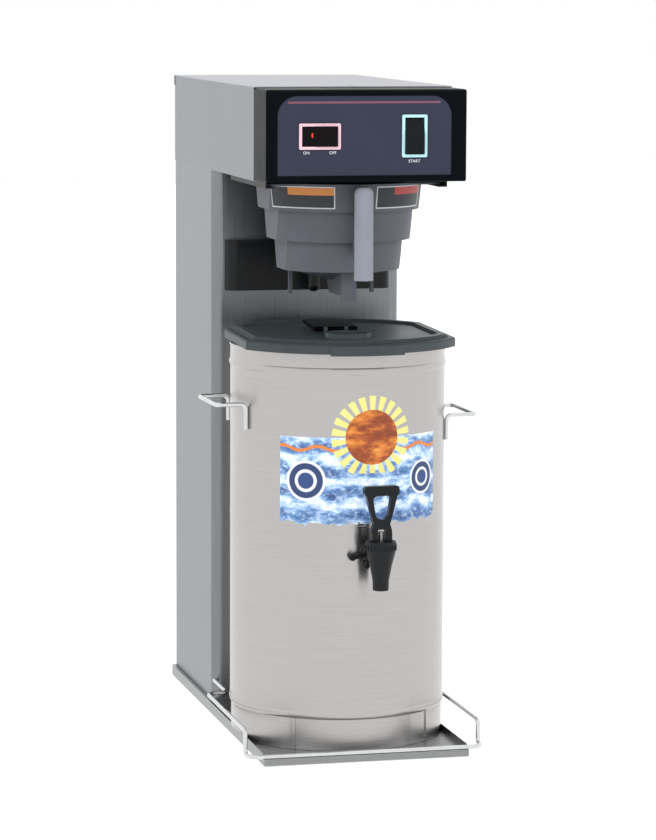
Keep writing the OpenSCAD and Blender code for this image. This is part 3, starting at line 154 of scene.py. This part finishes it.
# grain stretches the noise: small along the brushing, large across it
# smear: how far the brushing draws out a highlight upwards
def brushedSteel(name, tone, rough, grain, blotch=0.05, lineDepth=0.12, smear=0.0):
    material, tree, shader = newMaterial(name)
    lines = noise(tree, (-3, 0), grain, 6.0, 4, 0.6)
    clouds = noise(tree, (-3, 2), (1, 1, 1), 7.0, 2, 0.5)
    dark = tuple(c * (1 - blotch * 2) for c in tone)
    light = tuple(min(1, c * (1 + blotch)) for c in tone)
    lined = ramp(tree, (-2, 0), lines, [(0.3, dark), (0.7, light)])
    clouded = ramp(tree, (-2, 2), clouds, [(0.3, (1 - blotch,) * 3), (0.7, (1, 1, 1))])
    colour = mixColour(tree, (0, 0), 1.0, lined, clouded, "MULTIPLY")
    tree.links.new(colour, shader.inputs["Base Color"])
    span = math2(tree, (-1, 3), "MULTIPLY_ADD", lines, 0.14, rough - 0.07)
    tree.links.new(span, shader.inputs["Roughness"])
    shader.inputs["Metallic"].default_value = 1
    normal = bump(tree, (1, 4), lines, lineDepth)
    tree.links.new(normal, shader.inputs["Normal"])
    if smear:
        shader.inputs["Anisotropic"].default_value = smear
        along = put(tree, "ShaderNodeCombineXYZ", (1, 6))
        along.inputs["Z"].default_value = 1
        tree.links.new(along.outputs[0], shader.inputs["Tangent"])
    return material


def brightWire(name, tone=(0.78, 0.79, 0.8), rough=0.12):
    material, tree, shader = newMaterial(name)
    draw = noise(tree, (-3, 0), (1, 1, 1), 90.0, 3)
    colour = ramp(tree, (-2, 0), draw, [(0.3, tuple(c * 0.9 for c in tone)), (0.7, tone)])
    tree.links.new(colour, shader.inputs["Base Color"])
    level = math2(tree, (-1, 2), "MULTIPLY_ADD", draw, 0.1, rough - 0.05)
    tree.links.new(level, shader.inputs["Roughness"])
    shader.inputs["Metallic"].default_value = 1
    return material


def moulded(name, tone, rough, grainSize=900.0, grainDepth=0.15, vary=0.08, shine=0.5):
    material, tree, shader = newMaterial(name)
    pores = noise(tree, (-3, 0), (1, 1, 1), grainSize, 2)
    clouds = noise(tree, (-3, 2), (1, 1, 1), 14.0, 3)
    dark = tuple(c * (1 - vary) for c in tone)
    light = tuple(min(1, c * (1 + vary)) for c in tone)
    colour = ramp(tree, (-1, 2), clouds, [(0.3, dark), (0.7, light)])
    tree.links.new(colour, shader.inputs["Base Color"])
    level = math2(tree, (-1, 4), "MULTIPLY_ADD", clouds, 0.12, rough - 0.06)
    tree.links.new(level, shader.inputs["Roughness"])
    shader.inputs["Specular IOR Level"].default_value = shine
    normal = bump(tree, (1, 1), pores, grainDepth)
    tree.links.new(normal, shader.inputs["Normal"])
    return material


flatGrain = (2, 2, 90)      # brushing that runs level round the piece
uprightGrain = (90, 90, 2)  # brushing that runs up and down

steelTones = {
    "trunk": (0.27, 0.285, 0.295),
    "hood": (0.26, 0.28, 0.30),
    # the top cover is the hood's steel; its tone is raised to nearly twice the hood's to paint in the
    # sheen of light the top catches from above (painted highlight)
    "top": (0.46, 0.47, 0.52),
    "can": (0.56, 0.545, 0.535),
    "tray": (0.34, 0.35, 0.35),
    "inside": (0.36, 0.36, 0.36),
}

finishes = {
    "trunkSteel": brushedSteel("trunkSteel", steelTones["trunk"], 0.30, uprightGrain),
    "hoodSteel": brushedSteel("hoodSteel", steelTones["hood"], 0.30, flatGrain),
    # painted sheen: the top's brighter tone stands in for light falling on it from above
    "topSteelPaintedSheen": brushedSteel("topSteelPaintedSheen", steelTones["top"], 0.32, (2, 90, 90)),
    "canSteel": brushedSteel("canSteel", steelTones["can"], 0.24, flatGrain, 0.02, 0.03, 0.85),
    "footSteel": brushedSteel("footSteel", steelTones["can"], 0.25, flatGrain, 0.03, 0.03, 0.8),
    "traySteel": brushedSteel("traySteel", steelTones["tray"], 0.28, (2, 90, 90)),
    "plainSteel": brushedSteel("plainSteel", steelTones["inside"], 0.35, (20, 20, 20)),
    "wire": brightWire("wire"),
    "screw": brightWire("screw", (0.6, 0.6, 0.6), 0.25),
    "brass": brightWire("brass", (0.7, 0.5, 0.22), 0.3),
    "blackGloss": moulded("blackGloss", (0.004, 0.005, 0.006), 0.3, 700.0, 0.05, shine=0.3),
    "bezelBlack": moulded("bezelBlack", (0.001, 0.0025, 0.004), 0.36, 900.0, 0.06, shine=0.06),
    "blackMatte": moulded("blackMatte", (0.006, 0.007, 0.008), 0.42, 900.0, 0.1, shine=0.3),
    "rockerRed": moulded("rockerRed", (0.002, 0.001, 0.001), 0.16, 600.0, 0.02, shine=0.12),
    "rockerBlack": moulded("rockerBlack", (0.002, 0.003, 0.005), 0.22, 600.0, 0.02, shine=0.2),
    "pinkFrame": moulded("pinkFrame", (0.85, 0.55, 0.62), 0.3, 600.0, 0.02),
    "cyanFrame": moulded("cyanFrame", (0.5, 0.82, 0.84), 0.3, 600.0, 0.02),
    "labelBlue": moulded("labelBlue", (0.034, 0.039, 0.064), 0.38, 1500.0, 0.1, 0.04, shine=0.15),
    "basketGrey": moulded("basketGrey", (0.105, 0.113, 0.13), 0.42, 1100.0, 0.1, shine=0.3),
    "gripGrey": moulded("gripGrey", (0.26, 0.275, 0.31), 0.4, 1100.0, 0.1, shine=0.3),
    "lidSlate": moulded("lidSlate", (0.034, 0.048, 0.052), 0.42, 520.0, 0.35),
    "flapBlack": moulded("flapBlack", (0.001, 0.0012, 0.0015), 0.25, 500.0, 0.02, shine=0.05),
    "rubber": moulded("rubber", (0.02, 0.02, 0.02), 0.7),
    "silicone": moulded("silicone", (0.72, 0.70, 0.65), 0.4),
    "redRubber": moulded("redRubber", (0.35, 0.09, 0.05), 0.5),
    "boardGreen": moulded("boardGreen", (0.05, 0.2, 0.1), 0.4),
}

nodeFinish = {
    "trunkSteel": ["trunk_wrap", "front_panel", "rear_panel"],
    "hoodSteel": ["hood_shell"],
    "topSteelPaintedSheen": ["top_cover"],
    "canSteel": ["can_shell"],
    "footSteel": ["can_foot_ring", "can_bottom"],
    "traySteel": ["base_pan"],
    "plainSteel": ["hood_bottom", "water_tank", "tank_shelf", "tank_lid", "heating_element", "sprayhead",
                   "temperature_probe", "faucet_stem", "lever_pin", "flap_pin", "faucet_shank"],
    "wire": ["guide_rail", "can_handle_left", "can_handle_right", "wire_filter_basket"],
    "screw": ["panel_screws", "cover_screws"],
    "brass": ["inlet_fitting", "inlet_valve", "dilution_valve"],
    "blackGloss": ["nozzle_cover", "dilution_nozzle", "faucet_handle"],
    "bezelBlack": ["bezel"],
    "blackMatte": ["cord_gland", "basket_rail_left", "basket_rail_right", "terminal_block", "wing_nut",
                   "faucet_body", "faucet_bonnet", "shank_washers"],
    "rockerRed": ["power_rocker"],
    "rockerBlack": ["start_rocker"],
    "pinkFrame": ["power_switch_body"],
    "cyanFrame": ["start_switch_body"],
    "labelBlue": ["label_panel"],
    "basketGrey": ["brew_basket"],
    "gripGrey": ["basket_grip"],
    "lidSlate": ["can_lid"],
    "flapBlack": ["lid_flap"],
    "rubber": ["rubber_feet"],
    "silicone": ["spray_tube", "dilution_tube", "inlet_tube"],
    "redRubber": ["tank_gasket", "seat_cup"],
    "boardGreen": ["timer_board"],
}


def dressNodes():
    for finish, names in nodeFinish.items():
        for name in names:
            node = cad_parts[name]
            for slot in node.material_slots:
                slot.material = finishes[finish]
            if not node.material_slots:
                node.data.materials.append(finishes[finish])
    bare = set(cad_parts) - {n for names in nodeFinish.values() for n in names}
    if bare:
        raise ValueError(f"no finish for {sorted(bare)}")


dressNodes()
print("nodes dressed")


# Pieces that lie on a node's face

# y of the node's front face at x and z, in metres
def faceAt(nodeName, x, z):
    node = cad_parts[nodeName]
    inverse = node.matrix_world.inverted()
    start = inverse @ Vector((x, -1, z))
    ahead = (inverse.to_3x3() @ Vector((0, 1, 0))).normalized()
    hit, place, normal, index = node.ray_cast(start, ahead)
    return (node.matrix_world @ place).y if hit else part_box(nodeName)[0][1]


def settle(piece, name, finish, body):
    bpy.ops.object.transform_apply(location=True, rotation=True, scale=True)
    piece.name = name
    piece.data.materials.clear()
    piece.data.materials.append(finishes[finish])
    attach(piece, body)
    piece.select_set(False)


def printInk(name, colour):
    material, tree, shader = newMaterial(name)
    worn = noise(tree, (-3, 0), (1, 1, 1), 260.0, 2)
    tone = ramp(tree, (-1, 0), worn, [(0.3, tuple(c * 0.94 for c in colour)), (0.7, colour)])
    tree.links.new(tone, shader.inputs["Base Color"])
    shader.inputs["Roughness"].default_value = 0.4
    shader.inputs["Specular IOR Level"].default_value = 0.2
    return material


finishes["mauveInk"] = printInk("mauveInk", (0.24, 0.09, 0.13))
finishes["whiteInk"] = printInk("whiteInk", (0.82, 0.84, 0.86))

stripe = {"from": -104, "to": 97, "height": 856, "width": 2.6, "thick": 0.1}


def addStripe():
    bpy.ops.mesh.primitive_cube_add(size=1)
    bar = bpy.context.object
    long = stripe["to"] - stripe["from"]
    middle = (stripe["to"] + stripe["from"]) / 2
    face = faceAt("label_panel", middle * mm, stripe["height"] * mm)
    bar.scale = (long * mm, stripe["thick"] * mm, stripe["width"] * mm)
    bar.location = (middle * mm, face - stripe["thick"] * mm / 2, stripe["height"] * mm)
    settle(bar, "labelStripe", "mauveInk", "stand")


legends = {
    "size": 5.4,
    "thick": 0.08,
    "faceBelow": 3,      # how far under a word's foot the panel's face is taken
    "words": [
        ("legendOn", "ON", -79.9, 790.2),
        ("legendOff", "OFF", -45.2, 790.2),
        ("legendStart", "START", 62.6, 778.8),
    ],
}


def addLegends():
    for name, word, x, z in legends["words"]:
        bpy.ops.object.text_add(rotation=(math.radians(90), 0, 0))
        text = bpy.context.object
        text.data.body = word
        text.data.size = legends["size"] * mm
        text.data.align_x = "CENTER"
        text.data.extrude = legends["thick"] * mm / 2
        text.data.resolution_u = 4
        face = faceAt("label_panel", x * mm, (z - legends["faceBelow"]) * mm)
        text.location = (x * mm, face - legends["thick"] * mm / 2, z * mm)
        bpy.ops.object.convert(target="MESH")
        settle(bpy.context.object, name, "whiteInk", "stand")


# Red glow of the lamp in the power switch

lampSpot = {"x": -72.2, "z": 814.2, "wide": 1.5, "high": 3.2, "thick": 0.12, "glow": 1.2}


def addLampSpot():
    material = printInk("lampGlow", (0.5, 0.03, 0.015))
    shader = material.node_tree.nodes["Principled BSDF"]
    shader.inputs["Emission Color"].default_value = (0.6, 0.05, 0.02, 1)
    shader.inputs["Emission Strength"].default_value = lampSpot["glow"]
    finishes["lampGlow"] = material
    bpy.ops.mesh.primitive_uv_sphere_add(segments=24, ring_count=12, radius=1)
    glow = bpy.context.object
    glow.scale = (lampSpot["wide"] * mm, lampSpot["thick"] * mm, lampSpot["high"] * mm)
    face = faceAt("power_rocker", lampSpot["x"] * mm, lampSpot["z"] * mm)
    glow.location = (lampSpot["x"] * mm, face, lampSpot["z"] * mm)
    bpy.ops.object.shade_smooth()
    settle(glow, "powerLamp", "lampGlow", "power_key")


addStripe()
addLegends()
addLampSpot()
print("label printed")


# Decal on the can: a wavy blue band with a sun over it and two ringed roundels

canMiddle = (0, -134)

decal = {
    "radius": 143.15,
    "from": -44.6, "to": 48.3,       # degrees from straight ahead, towards +X
    "low": 305, "high": 480,
    "bandTop": 423, "bandLow": 314,
    "sun": (12, 423, 55),            # along the wall, height, radius
    "roundels": [(-76, 366, 27), (92, 366, 23)],
    "roundelParts": [                # share of the radius, colour
        (1.0, (0.85, 0.88, 0.92)),
        (0.86, (0.028, 0.055, 0.16)),
        (0.56, (0.86, 0.88, 0.9)),
        (0.40, (0.03, 0.07, 0.22)),
    ],
    "line": (406, 411),              # orange line under the band's top
    "heartShare": 0.66,              # of the sun's radius
    "rays": 22, "rayWidth": -0.35,
    "sunStart": 62,                  # above bandLow, where the sun is first seen
    "raggedness": 22, "raggedDrop": 14,
}


# Distances along and up the wall, in mm, for a material on a piece that goes round an upright axis
def wallPlace(tree, radius):
    where = put(tree, "ShaderNodeTexCoord", (-9, 0))
    parts = put(tree, "ShaderNodeSeparateXYZ", (-8, 0))
    tree.links.new(where.outputs["Object"], parts.inputs[0])
    ahead = math2(tree, (-7, 1), "SUBTRACT", canMiddle[1] * mm, parts.outputs["Y"])
    angle = math2(tree, (-6, 0), "ARCTAN2", parts.outputs["X"], ahead)
    along = math2(tree, (-5, 0), "MULTIPLY", angle, radius)
    up = math2(tree, (-5, 1), "MULTIPLY", parts.outputs["Z"], 1000.0)
    return along, up


softEdge = 0.02  # of a spot's radius


# 1 inside a round spot, 0 outside
def spot(tree, at, along, up, place, size):
    x, y = at
    dx = math2(tree, (x, y), "SUBTRACT", along, place[0])
    dy = math2(tree, (x, y + 1), "SUBTRACT", up, place[1])
    dx2 = math2(tree, (x + 1, y), "MULTIPLY", dx, dx)
    dy2 = math2(tree, (x + 1, y + 1), "MULTIPLY", dy, dy)
    far2 = math2(tree, (x + 2, y + 1), "ADD", dx2, dy2)
    far = math2(tree, (x + 2, y), "SQRT", far2)
    share = math2(tree, (x + 3, y + 1), "DIVIDE", far, size)
    left = math2(tree, (x + 3, y), "SUBTRACT", 1.0, share)
    return math2(tree, (x + 4, y), "DIVIDE", left, softEdge, clamp=True)


# 1 between two values, 0 outside them
def between(tree, at, value, low, high, soft):
    x, y = at
    over = math2(tree, (x, y + 1), "SUBTRACT", value, low)
    rise = math2(tree, (x, y), "DIVIDE", over, soft, clamp=True)
    under = math2(tree, (x + 1, y + 1), "SUBTRACT", high, value)
    fall = math2(tree, (x + 1, y), "DIVIDE", under, soft, clamp=True)
    return math2(tree, (x + 2, y), "MULTIPLY", rise, fall)


def decalInk():
    material, tree, shader = newMaterial("decalInk")
    along, up = wallPlace(tree, decal["radius"])
    ripple = noise(tree, (-6, 6), (1, 1, 2.2), 42.0, 4, 0.6)
    fleck = noise(tree, (-6, 9), (1, 1, 1.6), 130.0, 3, 0.6)
    crest = math2(tree, (-5, 4), "SINE", math2(tree, (-6, 4), "MULTIPLY", along, 0.13))
    level = math2(tree, (-4, 4), "MULTIPLY_ADD", crest, 3.0, up)
    waves = math2(tree, (-4, 5), "SINE", math2(tree, (-4, 6), "MULTIPLY_ADD", level, 0.21, 0.4))
    swell = math2(tree, (-3, 5), "MULTIPLY_ADD", waves, 0.16, ripple)
    blue = ramp(tree, (-2, 5), swell, [
        (0.22, (0.045, 0.11, 0.28)), (0.42, (0.12, 0.25, 0.50)), (0.54, (0.33, 0.52, 0.80)),
        (0.66, (0.68, 0.82, 0.95)), (0.8, (0.9, 0.95, 1))])
    pale = ramp(tree, (-2, 9), fleck, [(0.5, (0, 0, 0)), (0.66, (0.35, 0.4, 0.42))])
    colour = mixColour(tree, (0, 5), 1.0, blue, pale, "ADD")
    line = between(tree, (-3, 12), level, decal["line"][0], decal["line"][1], 0.8)
    colour = mixColour(tree, (1, 6), line, colour, (0.82, 0.24, 0.04))
    for place in decal["roundels"]:
        for i, (share, tone) in enumerate(decal["roundelParts"]):
            disc = spot(tree, (-3, 15 + i * 3), along, up, place, place[2] * share)
            colour = mixColour(tree, (2, 6 + i * 2), disc, colour, tone)
    # Sun: amber heart, pale rim cut into rays
    sunX, sunZ, sunR = decal["sun"]
    heart = spot(tree, (-3, 27), along, up, (sunX, sunZ), sunR * decal["heartShare"])
    rim = spot(tree, (-3, 30), along, up, (sunX, sunZ), sunR)
    beside = math2(tree, (-2, 33), "SUBTRACT", along, sunX)
    over = math2(tree, (-2, 34), "SUBTRACT", up, sunZ)
    turn = math2(tree, (-1, 33), "ARCTAN2", beside, over)
    turns = math2(tree, (0, 34), "MULTIPLY", turn, decal["rays"])
    rays = math2(tree, (1, 33), "GREATER_THAN", math2(tree, (0, 33), "COSINE", turns), decal["rayWidth"])
    amber = ramp(tree, (1, 36), ripple, [
        (0.2, (0.10, 0.02, 0.008)), (0.45, (0.35, 0.07, 0.015)),
        (0.6, (0.72, 0.22, 0.03)), (0.8, (0.9, 0.5, 0.12))])
    above = math2(tree, (2, 30), "GREATER_THAN", up, decal["bandLow"] + decal["sunStart"])
    rimSeen = math2(tree, (3, 30), "MULTIPLY", rim, rays)
    rimPart = math2(tree, (3, 31), "MULTIPLY", rimSeen, above)
    heartPart = math2(tree, (3, 27), "MULTIPLY", heart, above)
    colour = mixColour(tree, (4, 6), rimPart, colour, (0.86, 0.80, 0.26))
    colour = mixColour(tree, (5, 6), heartPart, colour, amber)
    tree.links.new(colour, shader.inputs["Base Color"])
    shader.inputs["Roughness"].default_value = 0.3
    # Cut out: the band with a ragged lower edge, and the sun
    ragged = math2(tree, (3, 40), "MULTIPLY_ADD", fleck, -decal["raggedness"], up)
    lower = math2(tree, (4, 40), "GREATER_THAN", ragged, decal["bandLow"] - decal["raggedDrop"])
    upper = math2(tree, (4, 41), "LESS_THAN", up, decal["bandTop"])
    band = math2(tree, (5, 40), "MULTIPLY", lower, upper)
    sun = math2(tree, (5, 42), "MAXIMUM", rimSeen, heart)
    shown = math2(tree, (6, 40), "MAXIMUM", band, sun)
    clear = put(tree, "ShaderNodeBsdfTransparent", (7, 2))
    cut = put(tree, "ShaderNodeMixShader", (8, 0))
    tree.links.new(shown, cut.inputs[0])
    tree.links.new(clear.outputs[0], cut.inputs[1])
    tree.links.new(shader.outputs[0], cut.inputs[2])
    tree.links.new(cut.outputs[0], tree.nodes["Material Output"].inputs[0])
    return material


wallSteps = 360  # faces of a full turn


# An open band round an upright axis, kept only between two directions
def wallBand(place, lowR, highR, low, high, start, end):
    bpy.context.tool_settings.mesh_select_mode = (False, False, True)
    bpy.ops.mesh.primitive_cone_add(
        vertices=wallSteps, radius1=lowR * mm, radius2=highR * mm, depth=(high - low) * mm,
        end_fill_type="NOTHING", location=(place[0] * mm, place[1] * mm, (low + high) / 2 * mm))
    band = bpy.context.object
    bpy.ops.object.transform_apply(location=True, rotation=True, scale=True)
    for face in band.data.polygons:
        middle = face.center
        turn = math.degrees(math.atan2(middle.x - place[0] * mm, place[1] * mm - middle.y))
        face.select = not start <= turn <= end
    bpy.ops.object.mode_set(mode="EDIT")
    bpy.ops.mesh.delete(type="FACE")
    bpy.ops.object.mode_set(mode="OBJECT")
    bpy.ops.object.shade_smooth()
    return band


def addDecal():
    finishes["decalInk"] = decalInk()
    band = wallBand(canMiddle, decal["radius"], decal["radius"], decal["low"], decal["high"],
                    decal["from"], decal["to"])
    settle(band, "canDecal", "decalInk", "dispenser")


# Plain tags on the basket's upper tier

tags = {
    "lowR": 107.2, "highR": 111.2,
    "low": 716.5, "high": 745.5,
    "border": 1.4,
    "markHigh": 11.5, "markFrom": 0.32,     # coloured strip: its height, and where it starts along the tag
    "list": [("tagLeft", -67, -16, (0.72, 0.26, 0.05)), ("tagRight", 13, 59, (0.5, 0.06, 0.05))],
}


def tagInk(name, start, end, accent):
    material, tree, shader = newMaterial(name + "Ink")
    along, up = wallPlace(tree, tags["highR"])
    reach = math.radians(1) * tags["highR"]
    edge = tags["border"]
    field = math2(tree, (0, 0), "MULTIPLY",
                  between(tree, (-3, 3), along, start * reach + edge, end * reach - edge, 0.3),
                  between(tree, (-3, 6), up, tags["low"] + edge, tags["high"] - edge, 0.3))
    split = start * reach + (end - start) * reach * tags["markFrom"]
    mark = math2(tree, (0, 2), "MULTIPLY",
                 between(tree, (-3, 9), along, split, end * reach - edge, 0.3),
                 between(tree, (-3, 12), up, tags["high"] - tags["markHigh"], tags["high"] - edge, 0.3))
    worn = noise(tree, (-3, 16), (1, 1, 1), 320.0, 2)
    dark = ramp(tree, (-1, 16), worn, [(0.3, (0.016, 0.019, 0.026)), (0.7, (0.026, 0.03, 0.04))])
    colour = mixColour(tree, (1, 0), field, (0.62, 0.63, 0.65), dark)
    colour = mixColour(tree, (2, 0), mark, colour, accent)
    tree.links.new(colour, shader.inputs["Base Color"])
    shader.inputs["Roughness"].default_value = 0.35
    return material


def addTags():
    for name, start, end, accent in tags["list"]:
        finishes[name + "Ink"] = tagInk(name, start, end, accent)
        tag = wallBand(canMiddle, tags["lowR"], tags["highR"], tags["low"], tags["high"], start, end)
        settle(tag, name, name + "Ink", "basket")


addDecal()
addTags()
print("decal and tags laid on")


# Studio

studio = {
    "front": 13.56,      # degrees from straight ahead to the camera, towards -X
    "floorTone": 0.86,
    "floorLift": 0.6,
}

# Light that falls on the machine from around it: degrees to the right of the camera, and how bright
surroundings = [
    (-180, 0.26), (-150, 0.24), (-110, 0.36), (-88, 0.48), (-70, 0.60), (-40, 0.70), (-27, 0.74),
    (-22, 0.40), (-13, 0.36), (-9, 0.76), (-2, 1.06), (9, 1.18), (14, 0.84), (18, 0.2), (25, 0.2),
    (29, 0.66), (36, 0.68), (50, 0.62), (64, 0.54), (80, 0.44), (97, 0.37), (119, 0.25), (140, 0.22),
    (180, 0.26),
]


def addWorld():
    world = bpy.data.worlds.new("studio")
    bpy.context.scene.world = world
    world.use_nodes = True
    tree = world.node_tree
    tree.nodes.clear()
    out = put(tree, "ShaderNodeOutputWorld", (8, 0))
    where = put(tree, "ShaderNodeTexCoord", (-4, 0))
    turned = put(tree, "ShaderNodeMapping", (-3, 0))
    turned.inputs["Rotation"].default_value = (0, 0, math.radians(studio["front"]))
    tree.links.new(where.outputs["Generated"], turned.inputs["Vector"])
    parts = put(tree, "ShaderNodeSeparateXYZ", (-2, 0))
    tree.links.new(turned.outputs[0], parts.inputs[0])
    back = math2(tree, (-1, 1), "MULTIPLY", parts.outputs["Y"], -1)
    angle = math2(tree, (0, 0), "ARCTAN2", parts.outputs["X"], back)
    share = math2(tree, (1, 0), "MULTIPLY_ADD", angle, 0.5 / math.pi, 0.5)
    stops = [(a / 360 + 0.5, (v, v, v)) for a, v in surroundings]
    around = ramp(tree, (2, 0), share, stops)
    sky = ramp(tree, (2, 2), parts.outputs["Z"],
               [(0.0, (0, 0, 0)), (0.12, (0.33, 0.33, 0.38)), (1, (0.42, 0.42, 0.46))])
    seen = mixColour(tree, (4, 0), 1.0, around, sky, "ADD")
    room = put(tree, "ShaderNodeBackground", (5, 0))
    tree.links.new(seen, room.inputs["Color"])
    white = put(tree, "ShaderNodeBackground", (5, 2))
    white.inputs["Color"].default_value = (1, 1, 1, 1)
    path = put(tree, "ShaderNodeLightPath", (4, -2))
    choose = put(tree, "ShaderNodeMixShader", (7, 0))
    # White to the camera and in metal and glass
    direct = math2(tree, (5, -2), "MAXIMUM",
                   path.outputs["Is Camera Ray"], path.outputs["Is Transmission Ray"])
    plain = math2(tree, (6, -2), "MAXIMUM", direct, path.outputs["Is Glossy Ray"])
    tree.links.new(plain, choose.inputs[0])
    tree.links.new(room.outputs[0], choose.inputs[1])
    tree.links.new(white.outputs[0], choose.inputs[2])
    tree.links.new(choose.outputs[0], out.inputs[0])


lamps = {
    "keyLamp": {"place": (-2.6, -3.4, 3.2), "size": 1.6, "power": 55},
    "sideLamp": {"place": (3.0, -2.6, 1.8), "size": 1.6, "power": 28},
    "topLamp": {"place": (0.2, 0.6, 3.6), "size": 2.0, "power": 30},
}


def addLamps():
    middle = Vector((0, -0.05, 0.4))
    for name, lamp in lamps.items():
        data = bpy.data.lights.new(name, "AREA")
        data.energy = lamp["power"]
        data.size = lamp["size"]
        light = bpy.data.objects.new(name, data)
        bpy.context.scene.collection.objects.link(light)
        light.location = lamp["place"]
        light.rotation_euler = (middle - Vector(lamp["place"])).to_track_quat("-Z", "Y").to_euler()
        light.visible_glossy = False


def addFloor():
    bpy.ops.mesh.primitive_plane_add(size=24, location=(0, 0, 0))
    floor = bpy.context.object
    floor.name = "floor"
    material, tree, shader = newMaterial("floorWhite")
    spread = noise(tree, (-3, 0), (1, 1, 1), 3.0)
    tone = studio["floorTone"]
    colour = ramp(tree, (-1, 0), spread, [(0.3, (tone,) * 3), (0.7, (tone + 0.01,) * 3)])
    tree.links.new(colour, shader.inputs["Base Color"])
    shader.inputs["Roughness"].default_value = 0.9
    shader.inputs["Specular IOR Level"].default_value = 0.1
    lift = put(tree, "ShaderNodeEmission", (1, 2))
    lift.inputs["Strength"].default_value = studio["floorLift"]
    both = put(tree, "ShaderNodeAddShader", (4, 1))
    tree.links.new(shader.outputs[0], both.inputs[0])
    tree.links.new(lift.outputs[0], both.inputs[1])
    path = put(tree, "ShaderNodeLightPath", (3, -2))
    choose = put(tree, "ShaderNodeMixShader", (5, 0))
    tree.links.new(path.outputs["Is Camera Ray"], choose.inputs[0])
    tree.links.new(shader.outputs[0], choose.inputs[1])
    tree.links.new(both.outputs[0], choose.inputs[2])
    tree.links.new(choose.outputs[0], tree.nodes["Material Output"].inputs[0])
    floor.data.materials.append(material)
    floor.visible_glossy = False


addWorld()
addLamps()
addFloor()
view = bpy.context.scene.view_settings
view.view_transform = "Standard"
print("studio ready")
